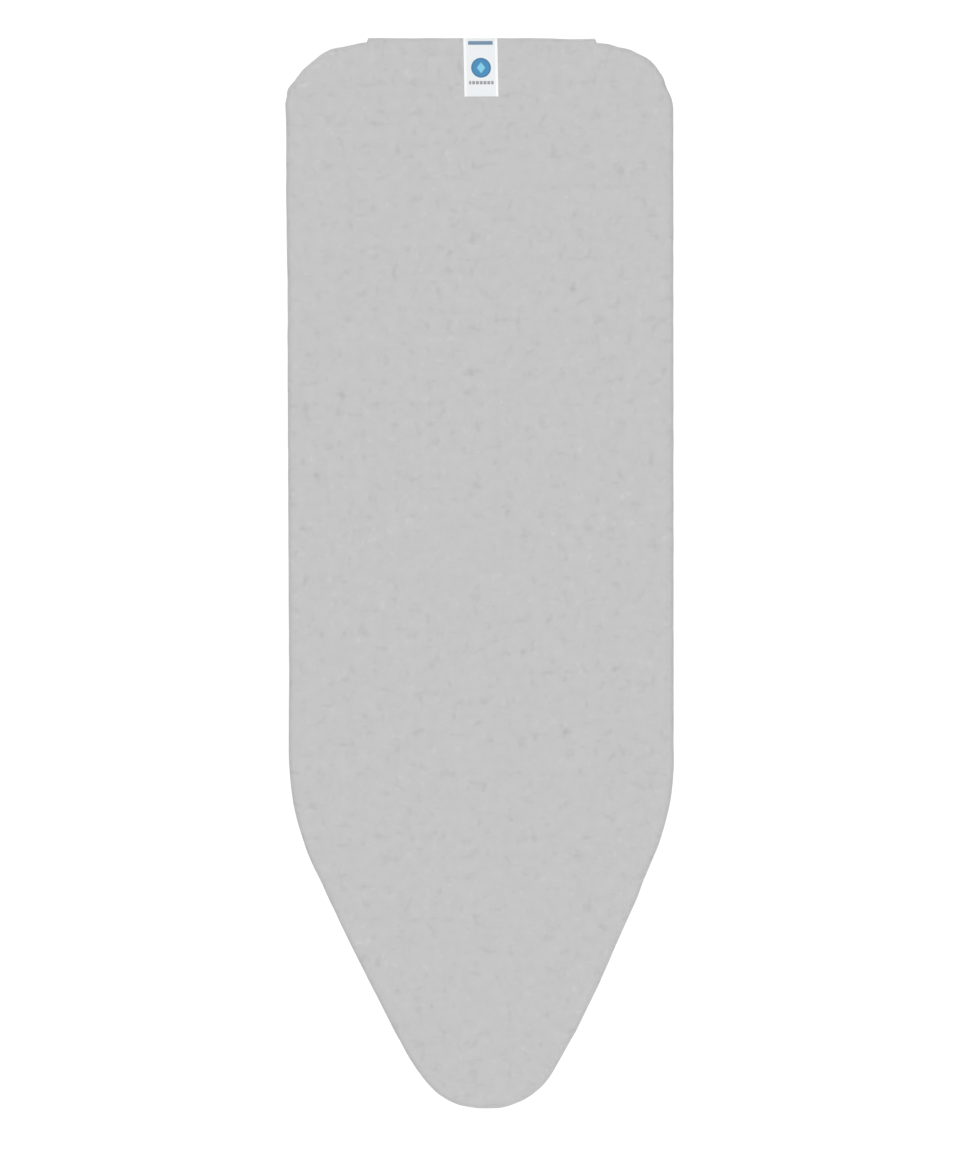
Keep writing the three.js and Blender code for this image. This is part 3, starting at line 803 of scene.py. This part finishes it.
def labelPath():
    # places along the label from its front edge: how far along, y, z and the tilt of the way up
    edge = coverCloth["topEdge"]
    height, rearY = coverShape["height"], coverShape["length"] / 2
    radius = edge + label["lift"]
    flatEnd = label["length"] - edge
    flat = np.linspace(0, flatEnd, int(flatEnd / label["step"]) + 1)
    turn = np.linspace(0, label["overEdge"], label["overEdgeRows"] + 1)[1:]
    run = np.concatenate([flat, flat[-1] + radius * turn])
    y = np.concatenate([rearY - label["length"] + flat, rearY - edge + radius * np.sin(turn)])
    z = np.concatenate([np.full(len(flat), height + label["lift"]), height - edge + radius * np.cos(turn)])
    return run, y, z, np.concatenate([np.zeros(len(flat)), turn])


def makeLabel(material, thread):
    s = label
    run, y, z, tilt = labelPath()
    across = np.linspace(-s["width"] / 2, s["width"] / 2, int(s["width"] / s["step"]) + 1)
    fromSide = s["width"] / 2 - np.abs(across)
    fromEnd = np.minimum(run, run[-1] - run)
    border = np.minimum(fromSide[None, :], fromEnd[:, None])
    rise = s["selvedgeRise"] * smoothStep(s["selvedge"], s["selvedge"] * s["selvedgeSoft"], border)
    wave = np.sin(across / s["waveAcross"] + s["wavePhase"])[None, :] * np.sin(run / s["waveAlong"])[:, None]
    up = s["thickness"] + rise + s["wave"] * wave
    aside = s["middleX"] + s["skew"] * (s["length"] / 2 - run)
    rows = np.stack([aside[:, None] + across[None, :], y[:, None] + np.sin(tilt)[:, None] * up,
                     z[:, None] + np.cos(tilt)[:, None] * up], axis=-1)
    uv = np.stack(np.broadcast_arrays(across[None, :], run[:, None]), axis=-1)
    piece = rowsMesh("label_satin", rows, loopsClose=False, uv=uv)
    applyModifier(piece, "SOLIDIFY", thickness=s["thickness"] * mm, offset=-1)
    dress(piece, material, smooth=50)
    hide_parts("label")
    side = s["width"] / 2 - s["stitchInset"]
    (rear, rearY), (front, frontY) = ((np.interp(at, run, aside), y[0] + at)
                                      for at in (run[tilt == 0][-1], s["stitchInset"]))
    corners = [(rear - side, rearY), (front - side, frontY), (front + side, frontY), (rear + side, rearY)]
    height = z[0] + s["thickness"] + s["stitchLift"]
    lines = [([(*end, height) for end in ends], (0, 0, 1)) for ends in zip(corners, corners[1:])]
    return [piece, stitchAlong("label_stitches", lines, s, thread)]


# The elastic strap across the underside, its ends looped round the hook bars and sewn down

strap = {  # mm
    "y": 120,
    "width": 24.6,
    "thickness": 1.1,
    "edge": 0.5,
    "ribPitch": 1.9,
    "ribHeight": 0.1,
    "stepsPerRib": 6,
    "barZ": 3.3,
    "loopRadius": 2.1,
    "loopPoints": 15,
    "lowZ": 1.2,
    "tailZ": 2.38,
    "eyeLength": 12,
    "tailLength": 22,
    "tailPoints": 7,
    "straightStep": 4,
    "stitchMargin": 3,
    "stitchPitch": 2.6,
    "stitchLength": 2.2,
    "stitchWidth": 0.42,
}


def strapPath():
    # the middle of the webbing in the plane across the board, as x and z, from the left tail to the right one
    s = strap
    radius = s["loopRadius"]
    barX = boxOf("elastic_strap")[1][0] - radius - s["thickness"] / 2
    eyeX = barX - s["eyeLength"]
    tailX = eyeX - s["tailLength"]
    turn = np.linspace(math.pi / 2, -math.pi / 2, s["loopPoints"])
    loop = np.column_stack([barX + radius * np.cos(turn), s["barZ"] + radius * np.sin(turn)])
    tail = np.column_stack([np.linspace(tailX, eyeX, s["tailPoints"]), np.full(s["tailPoints"], s["tailZ"])])
    slope = np.linspace(0, 1, s["tailPoints"])[1:-1]
    rise = np.column_stack([eyeX + (barX - eyeX) * slope,
                            s["tailZ"] + (loop[0, 1] - s["tailZ"]) * smoothStep(0, 1, slope)])
    under = np.linspace(barX, 0, int(barX / s["straightStep"]) + 1)[1:]
    right = np.vstack([tail, rise, loop, np.column_stack([under, np.full(len(under), s["lowZ"])])])
    return np.vstack([right * [-1, 1], right[:-1][::-1]]), tailX


def makeStrap(material, thread):
    s = strap
    path, tailX = strapPath()
    ahead = unit(np.gradient(path, axis=0))
    normal = np.column_stack([-ahead[:, 1], ahead[:, 0]])
    half = s["width"] / 2
    ribs = round(s["width"] / s["ribPitch"])
    across = np.linspace(-half + s["edge"], half - s["edge"], ribs * s["stepsPerRib"] + 1)
    thick = s["thickness"] / 2 - s["ribHeight"] * (1 + np.cos(2 * np.pi * ribs * across / s["width"])) / 2
    low = thick[-1] / 2
    section = np.vstack([np.column_stack([across, thick]), [(half, low), (half, -low)],
                         np.column_stack([across, -thick])[::-1], [(-half, -low), (-half, low)]])
    rows = [np.column_stack([x + section[:, 1] * nx, s["y"] + section[:, 0], z + section[:, 1] * nz])
            for (x, z), (nx, nz) in zip(path, normal)]
    widths = np.append(section[:, 0], section[0, 0])
    uv = [np.column_stack([widths, np.full(len(widths), at)]) for at in runAlong(path)]
    piece = rowsMesh("strap_webbing", rows, uv=uv)
    capEnds(piece)
    dress(piece, material, smooth=50)
    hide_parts("elastic_strap")
    inner = tailX + s["stitchMargin"]
    outer = tailX + s["tailLength"] - s["stitchMargin"]
    reach = half - s["stitchMargin"]
    # a box of stitches with a cross in it
    corners = [(inner, -reach), (outer, -reach), (outer, reach), (inner, reach), (inner, -reach),
               (outer, reach)]
    ways = list(zip(corners, corners[1:])) + [[(inner, reach), (outer, -reach)]]
    faces = ((s["lowZ"] - s["thickness"] / 2, -1), (s["tailZ"] + s["thickness"] / 2, 1))
    lines = [([(side * x, s["y"] + y, z) for x, y in way], (0, 0, up))
             for side in (-1, 1) for z, up in faces for way in ways]
    stitchAlong("strap_stitches", lines, s, thread)


# The rigid mouldings: the CAD solid's shape with its edges eased, as they come from the mould

moulding = {  # mm and degrees
    "weld": 0.005,
    "flatAngle": 1.5,
    "edgeAngle": 42,
    "lockEdge": 0.16,
    "hookEdge": 0.25,
}


def makeMoulding(name, node, material, body, edge):
    def simplify(shape):
        bmesh.ops.remove_doubles(shape, verts=shape.verts, dist=moulding["weld"] * mm)
        bmesh.ops.dissolve_limit(shape, angle_limit=math.radians(moulding["flatAngle"]),
                                 verts=shape.verts, edges=shape.edges)

    piece = addPiece(name, frame["nodes"][node].data.copy())
    editMesh(piece.data, simplify)
    applyModifier(piece, "BEVEL", width=edge * mm, segments=2, limit_method="ANGLE",
                  angle_limit=math.radians(moulding["edgeAngle"]), use_clamp_overlap=True)
    dress(piece, material, body, smooth=moulding["edgeAngle"])
    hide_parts(node)


# The lock's compression spring, wound from wire

spring = {  # mm
    "wire": 0.7,
    "diameter": 6.4,
    "turns": 5,
    "stepsPerTurn": 36,
    "sides": 10,
    "plungerTravel": 3,
}


def makeSpring(material):
    s = spring
    low, high = boxOf("cord_lock_spring")
    radius = (s["diameter"] - s["wire"]) / 2
    middle = sum(boxOf("cord_lock_plunger")) / 2
    turn = 2 * np.pi * np.linspace(0, s["turns"], s["turns"] * s["stepsPerTurn"] + 1)
    startX = high[0] - s["wire"] / 2
    endX = low[0] + s["wire"] / 2
    line = np.column_stack([startX + (endX - startX) * turn / turn[-1],
                            middle[1] + radius * np.cos(turn), middle[2] + radius * np.sin(turn)])
    piece = sweep("spring_coil", line, s["wire"] / 2, s["sides"], upright=(1.0, 0.0, 0.0))
    dress(piece, material, "cord_lock")
    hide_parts("cord_lock_spring")
    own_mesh(piece)


# Materials. Each pattern's size is in millimetres on the piece, from the real thread, cell or grain.

def objectPlace(tree):
    return addNode(tree, "TexCoord").outputs["Object"]


def surfaceMap(tree):
    return addNode(tree, "UVMap", uv_map="surface")


def blobs(tree, place, width, length, detail=1.0, turned=0.0):
    # soft random spots, one to a cell of this width and length in mm, as values round 0.5
    scale = (toMm / width, toMm / length, toMm / length)
    cells = addNode(tree, "Mapping", {"Vector": place, "Rotation": (0, 0, turned), "Scale": scale})
    return addNode(tree, "TexNoise", {"Vector": cells, "Scale": 1.0, "Detail": detail, "Roughness": 0.5})


def ripples(tree, run, pitch):
    # a wave from -1 to 1 along a run in m, with half a wave to each pitch in mm
    angle = addNode(tree, "Math", {0: run, 1: math.pi * toMm / pitch}, operation="MULTIPLY")
    return addNode(tree, "Math", {0: angle}, operation="SINE")


def weave(tree, place, acrossPitch, alongPitch):
    # the over and under of threads at these spacings in mm, as heights between 0 and 1
    axes = addNode(tree, "SeparateXYZ", {0: place}).outputs
    crossed = addNode(tree, "Math", {0: ripples(tree, axes[0], acrossPitch),
                                     1: ripples(tree, axes[1], alongPitch)}, operation="MULTIPLY")
    return addNode(tree, "Math", {0: crossed, 1: 0.5, 2: 0.5}, operation="MULTIPLY_ADD")


def between(tree, dark, light, share):
    # dark and light are each a hex text or a socket that carries a colour
    dark, light = (linearColor(end) if isinstance(end, str) else end for end in (dark, light))
    return addNode(tree, "Mix", {"Factor": share, 6: dark, 7: light}, data_type="RGBA").outputs[2]


def bumpFrom(tree, height, distance):
    return addNode(tree, "Bump", {"Height": height, "Distance": distance * mm, "Strength": 1.0})


def spread(tree, value, low, high):
    # values from low to high drawn out to 0 and 1
    return addNode(tree, "MapRange", {"Value": value, "From Min": low, "From Max": high})


cotton = {
    "dark": "#a9a9a9",
    "light": "#c6c6c6",
    "ground": 0.5,
    "cloud": 34,  # mm
    "cloudShare": 0.13,
    "grain": 12,  # mm
    "grainShare": 0.34,
    "slubs": [
        # cell width and length in mm, noise level where it begins and where it is full, and its share
        (13, 20, 0.385, 0.22, -0.27),
        (21, 12, 0.385, 0.22, -0.27),
        (10, 14, 0.65, 0.8, 0.19),
        (15, 9, 0.65, 0.8, 0.19),
    ],
    "threadPitch": 0.8,  # mm
    "threadHeight": 0.1,  # mm
    "threadShare": 0.22,
    "roughness": 0.74,
    "metallic": 0.06,
}


def metallisedCotton():
    # Plain-weave cotton with a thin aluminium coat: an even silver grey with a dull sheen, in which the
    # slubs of the yarn show as faint dark and light flecks a few millimetres long. The threads are
    # 0.35 mm apart on the real cloth and are drawn at 0.8 mm, as coarse as it takes to show close up.
    s = cotton
    material, tree = newMaterial("metallised_cotton")
    place = surfaceMap(tree)
    threads = weave(tree, place, s["threadPitch"], s["threadPitch"])
    parts = [(blobs(tree, place, s[size], s[size], detail=2.0), s[size + "Share"])
             for size in ("cloud", "grain")]
    parts += [(spread(tree, blobs(tree, place, width, length), begins, full), share)
              for width, length, begins, full, share in s["slubs"]]
    parts.append((threads, s["threadShare"]))
    tone = s["ground"] - (s["cloudShare"] + s["grainShare"] + s["threadShare"]) / 2
    for value, share in parts:
        tone = addNode(tree, "Math", {0: value, 1: share, 2: tone}, operation="MULTIPLY_ADD")
    return finishMaterial(material, between(tree, s["dark"], s["light"], tone), s["roughness"],
                          bumpFrom(tree, threads, s["threadHeight"]), {"Metallic": s["metallic"]})


def openCellFoam():
    # Polyether foam, cut from a block: matt cream with open cells of about 1.2 mm.
    material, tree = newMaterial("open_cell_foam")
    cells = addNode(tree, "TexVoronoi", {"Vector": objectPlace(tree), "Scale": toMm / 1.2})
    color = between(tree, "#cfc8b4", "#efeadb", spread(tree, cells, 0.1, 0.7))
    return finishMaterial(material, color, roughness=0.95, normal=bumpFrom(tree, cells, 0.3))


def needledFelt():
    # Needle-punched recycled fibre: matt off-white with fine grey and blue flecks and rows of needle dimples.
    material, tree = newMaterial("needled_felt")
    place = objectPlace(tree)
    fibres, crossing = (blobs(tree, place, width=0.5, length=6.0, detail=3.0, turned=turned)
                        for turned in (0.6, -0.8))
    flecks = spread(tree, blobs(tree, place, width=0.9, length=3.0), 0.62, 0.7)
    both = addNode(tree, "Math", {0: fibres, 1: crossing}, operation="MULTIPLY")
    ground = between(tree, "#c9c6c0", "#e6e4df", spread(tree, both, 0.12, 0.42))
    dimples = bumpFrom(tree, weave(tree, place, acrossPitch=3.0, alongPitch=3.0), 0.15)
    normal = addNode(tree, "Bump", {"Height": both, "Distance": 0.3 * mm, "Normal": dimples})
    return finishMaterial(material, between(tree, ground, "#9ba1ab", flecks), roughness=1.0, normal=normal)


labelPrint = {  # mm from the label's middle line and its front edge, as middle and size
    "bar": ((0.0, 62.5), (28.2, 4.0)),
    "selvedge": 3.2,
    "disc": ((0.2, 33.6), 11.3),
    "ring": 9.4,
    "diamond": (4.8, 6.2),
    "rule": ((0.2, 16.2), (28, 3.4)),
    "dashPitch": 4.4,
    "dash": 2.9,
    "soft": 0.5,
}


def offsets(tree, place, middle):
    # how far each place lies from a middle, across and along
    axes = addNode(tree, "SeparateXYZ", {0: place}).outputs
    away = [addNode(tree, "Math", {0: axes[k], 1: middle[k] * mm}, operation="SUBTRACT") for k in range(2)]
    return [addNode(tree, "Math", {0: offset}, operation="ABSOLUTE") for offset in away]


def softEdge(tree, distance, reach):
    # 1 nearer than the reach in mm and 0 beyond it
    return spread(tree, distance, (reach + labelPrint["soft"]) * mm, reach * mm)


def boxMask(tree, place, middle, size):
    inside = [softEdge(tree, offset, reach / 2) for offset, reach in zip(offsets(tree, place, middle), size)]
    return addNode(tree, "Math", {0: inside[0], 1: inside[1]}, operation="MULTIPLY")


def discMask(tree, place, middle, radius):
    distance = addNode(tree, "VectorMath", {0: place, 1: (middle[0] * mm, middle[1] * mm, 0)},
                       operation="DISTANCE").outputs["Value"]
    return softEdge(tree, distance, radius)


def diamondMask(tree, place, middle, halfSize):
    sides = [addNode(tree, "Math", {0: offset, 1: half * mm}, operation="DIVIDE")
             for offset, half in zip(offsets(tree, place, middle), halfSize)]
    return spread(tree, addNode(tree, "Math", {0: sides[0], 1: sides[1]}, operation="ADD"), 1.06, 1.0)


def wovenSatin():
    # Woven polyester satin: bright white with a soft gloss. Its marks are plain figures, a bar, a disc
    # with a diamond and a row of dashes, woven in blue and grey.
    p = labelPrint
    material, tree = newMaterial("woven_satin")
    place = surfaceMap(tree)
    ground = between(tree, "#dadddf", "#e1e4e5", blobs(tree, place, width=1.6, length=14, detail=2.0))
    middle = boxMask(tree, place, (0, label["length"] / 2),
                     (label["width"] - 2 * p["selvedge"], 2 * label["length"]))
    across = addNode(tree, "SeparateXYZ", {0: place})
    step = addNode(tree, "Math", {0: across, 1: p["dashPitch"] * mm / 2}, operation="PINGPONG")
    dashes = addNode(tree, "Math", {0: boxMask(tree, place, *p["rule"]),
                                    1: softEdge(tree, step, p["dash"] / 2)}, operation="MULTIPLY")
    color = between(tree, "#ebeced", ground, middle)
    for mask, mark in (
        (boxMask(tree, place, *p["bar"]), "#64829c"),
        (discMask(tree, place, *p["disc"]), "#2f709c"),
        (discMask(tree, place, p["disc"][0], p["ring"]), "#3780ae"),
        (diamondMask(tree, place, p["disc"][0], p["diamond"]), "#76c0da"),
        (dashes, "#8f9193"),
    ):
        color = between(tree, color, mark, mask)
    normal = bumpFrom(tree, weave(tree, place, acrossPitch=0.5, alongPitch=0.9), 0.03)
    return finishMaterial(material, color, roughness=0.42, normal=normal, more={"Sheen Weight": 0.15})


def cottonTape():
    # Herringbone cotton tape: matt grey, its ribs slanting one way and back every 2.2 mm.
    stripe, rib = 2.2, 0.9  # mm
    material, tree = newMaterial("cotton_binding_tape")
    place = surfaceMap(tree)
    axes = addNode(tree, "SeparateXYZ", {0: place}).outputs
    fold = addNode(tree, "Math", {0: axes[1], 1: stripe * mm}, operation="PINGPONG")
    slant = addNode(tree, "Math", {0: axes[0], 1: fold}, operation="ADD")
    wave = ripples(tree, slant, rib / 2)
    height = addNode(tree, "Math", {0: wave, 1: 0.5, 2: 0.5}, operation="MULTIPLY_ADD")
    tone = addNode(tree, "Math", {0: height, 1: blobs(tree, place, width=5, length=12)}, operation="MULTIPLY")
    color = between(tree, "#8f9194", "#b5b7b9", spread(tree, tone, 0, 0.7))
    return finishMaterial(material, color, roughness=0.85, normal=bumpFrom(tree, height, 0.12))


def braidedPolyester():
    # Round braided polyester cord: white strands that cross in two slanting sets, with a faint gloss.
    strands, pitch = 8, 1.5  # round the cord, and mm along it
    material, tree = newMaterial("braided_polyester")
    axes = addNode(tree, "SeparateXYZ", {0: surfaceMap(tree)}).outputs
    sets = []
    for way in (strands, -strands):
        slanted = addNode(tree, "Math", {0: axes[1], 1: way / (drawcord["diameter"] * mm)},
                          operation="MULTIPLY")
        run = addNode(tree, "Math", {0: axes[0], 1: math.pi * toMm / pitch, 2: slanted},
                      operation="MULTIPLY_ADD")
        sets.append(addNode(tree, "Math", {0: run}, operation="SINE"))
    crossed = addNode(tree, "Math", {0: sets[0], 1: sets[1]}, operation="MULTIPLY")
    height = addNode(tree, "Math", {0: crossed}, operation="ABSOLUTE")
    color = between(tree, "#cfccc4", "#f3f1ec", spread(tree, height, 0, 0.6))
    return finishMaterial(material, color, roughness=0.7, normal=bumpFrom(tree, height, 0.25))


def ribbedElastic():
    # Woven elastic webbing: white, with ribs along it, which are in the mesh, and fine picks across.
    material, tree = newMaterial("woven_elastic")
    picks = weave(tree, surfaceMap(tree), acrossPitch=0.95, alongPitch=0.8)
    color = between(tree, "#d9d8d4", "#f6f5f2", spread(tree, picks, 0.1, 0.7))
    return finishMaterial(material, color, roughness=0.88, normal=bumpFrom(tree, picks, 0.15))


def mouldedAcetal(name, dark, light, roughness, grain):
    # Moulded acetal: a hard, slightly waxy plastic with the fine spark-eroded grain of its mould.
    material, tree = newMaterial(name)
    place = objectPlace(tree)
    spark = blobs(tree, place, grain, grain, detail=2.0)
    color = between(tree, dark, light, blobs(tree, place, width=6, length=6, detail=2.0))
    worn = addNode(tree, "MapRange", {"Value": spark, "To Min": roughness - 0.06, "To Max": roughness + 0.08})
    return finishMaterial(material, color, worn, bumpFrom(tree, spark, 0.03), {"IOR": 1.48})


def drawnSteel():
    # Spring steel wire, drawn through a die: bright grey with fine lines along the wire.
    material, tree = newMaterial("drawn_spring_steel")
    lines = blobs(tree, surfaceMap(tree), width=4.0, length=0.08, detail=2.0)
    color = between(tree, "#a9acb1", "#c9ccd1", lines)
    return finishMaterial(material, color, 0.28, bumpFrom(tree, lines, 0.01), {"Metallic": 1.0})


def spunPolyester(name, dark, light):
    # Spun polyester sewing thread: two plies twisted together, slightly shiny.
    material, tree = newMaterial(name)
    plies = blobs(tree, objectPlace(tree), width=0.25, length=0.9, turned=0.7)
    return finishMaterial(material, between(tree, dark, light, plies), roughness=0.55,
                          normal=bumpFrom(tree, plies, 0.05))


def litTable():
    # A white acrylic table lit from below. Most of its white is its own light, so the cover lies on plain
    # white without a shadow, as in the photograph.
    material, tree = newMaterial("white_table")
    color = between(tree, "#6c6c6c", "#707070", blobs(tree, objectPlace(tree), width=300, length=300))
    return finishMaterial(material, color, roughness=0.9, more={"Emission Color": (1, 1, 1, 1),
                                                                "Emission Strength": stage["tableGlow"]})


# Table, light and camera

stage = {
    "tableSize": 60.0,  # m
    "tableGlow": 0.9,
    # how bright the studio is at heights from the horizon, 0, to straight above, 1
    "studioLight": [(0.0, 1.0), (0.1, 1.0), (0.13, 0.2), (0.45, 0.3), (0.9, 1.08), (1.0, 1.08)],
    # two soft lights, low enough to graze the long sides: one from the nose end and one from the rear end
    "sunStrength": 1.2,
    "sunAngle": math.radians(20),
    "sunTilt": math.radians(54),
    "sunTurns": {"soft_key": math.radians(28), "soft_fill": math.radians(208)},
    "lens": 130.0,  # mm
    "sensor": 36.0,  # mm
    "halfHeight": 0.6815,  # m of the cover's plane from the middle of the photograph to its upper edge
    "planeZ": 0.029,  # m
    "middle": (0.0052, -0.0136),  # m
    "roll": math.radians(-0.2),
}


def makeStage():
    s = stage
    selectOnly()
    bpy.ops.mesh.primitive_plane_add(size=s["tableSize"])
    table = bpy.context.object
    table.name = "white_table"
    table.data.materials.append(litTable())
    scene = bpy.context.scene
    scene.world = bpy.data.worlds.new("studio")
    scene.world.use_nodes = True
    tree = scene.world.node_tree
    way = addNode(tree, "TexCoord").outputs["Generated"]
    ramp = addNode(tree, "ValToRGB", {"Fac": addNode(tree, "SeparateXYZ", {0: way}).outputs["Z"]})
    brightest = max(level for _, level in s["studioLight"])
    stops = ramp.color_ramp.elements
    for at, level in s["studioLight"]:
        stop = stops[0] if at == 0 else stops[-1] if at == 1 else stops.new(at)
        stop.color = (level / brightest, level / brightest, level / brightest, 1)
    background = tree.nodes["Background"]
    background.inputs["Strength"].default_value = brightest
    tree.links.new(ramp.outputs["Color"], background.inputs["Color"])
    for name, turn in s["sunTurns"].items():
        light = bpy.data.lights.new(name, "SUN")
        light.energy = s["sunStrength"]
        light.angle = s["sunAngle"]
        addPiece(name, light).rotation_euler = (s["sunTilt"], 0, turn)
    camera = bpy.data.cameras.new("from_above")
    camera.lens = s["lens"]
    camera.sensor_width = s["sensor"]
    camera.clip_end = s["tableSize"]
    eye = addPiece("from_above", camera)
    eye.location = (*s["middle"], s["planeZ"] + s["halfHeight"] * s["lens"] / (s["sensor"] / 2))
    eye.rotation_euler = (0, 0, s["roll"])
    scene.camera = eye
    scene.view_settings.view_transform = "Standard"


makeStage()
print("stage, light and camera made")

makePadLayer("foam_pad", openCellFoam())
makePadLayer("felt_pad", needledFelt())
print("foam and felt made")

clothPiece = makeCoverCloth(metallisedCotton())
print("cover cloth made:", len(clothPiece.data.polygons), "faces")

greyThread = spunPolyester("grey_thread", "#8f9295", "#b9bbbe")
whiteThread = spunPolyester("white_thread", "#dcdddf", "#f7f7f8")
labelPieces = makeLabel(wovenSatin(), whiteThread)
print("label made")

tapePieces = makeTapes(cottonTape(), greyThread)
declareCloth()
cordLength = makeDrawcord(braidedPolyester())
print("casings and drawcord made, cord", round(cordLength), "mm long")

makeStrap(ribbedElastic(), greyThread)
lockPlastic = mouldedAcetal("black_acetal", "#232426", "#303134", roughness=0.42, grain=0.25)
hookPlastic = mouldedAcetal("grey_acetal", "#83878b", "#93979b", roughness=0.34, grain=0.35)
for name, node, body in (("lock_body", "cord_lock_body", "cord_lock"),
                         ("lock_plunger", "cord_lock_plunger", "lock_plunger"),
                         ("cord_tail_end", "cord_end", "cover")):
    makeMoulding(name, node, lockPlastic, body, moulding["lockEdge"])
for side in ("left", "right"):
    makeMoulding(f"hook_{side}_moulding", f"strap_hook_{side}", hookPlastic, f"hook_{side}",
                 moulding["hookEdge"])
makeSpring(drawnSteel())
print("strap, hooks and cord lock made")
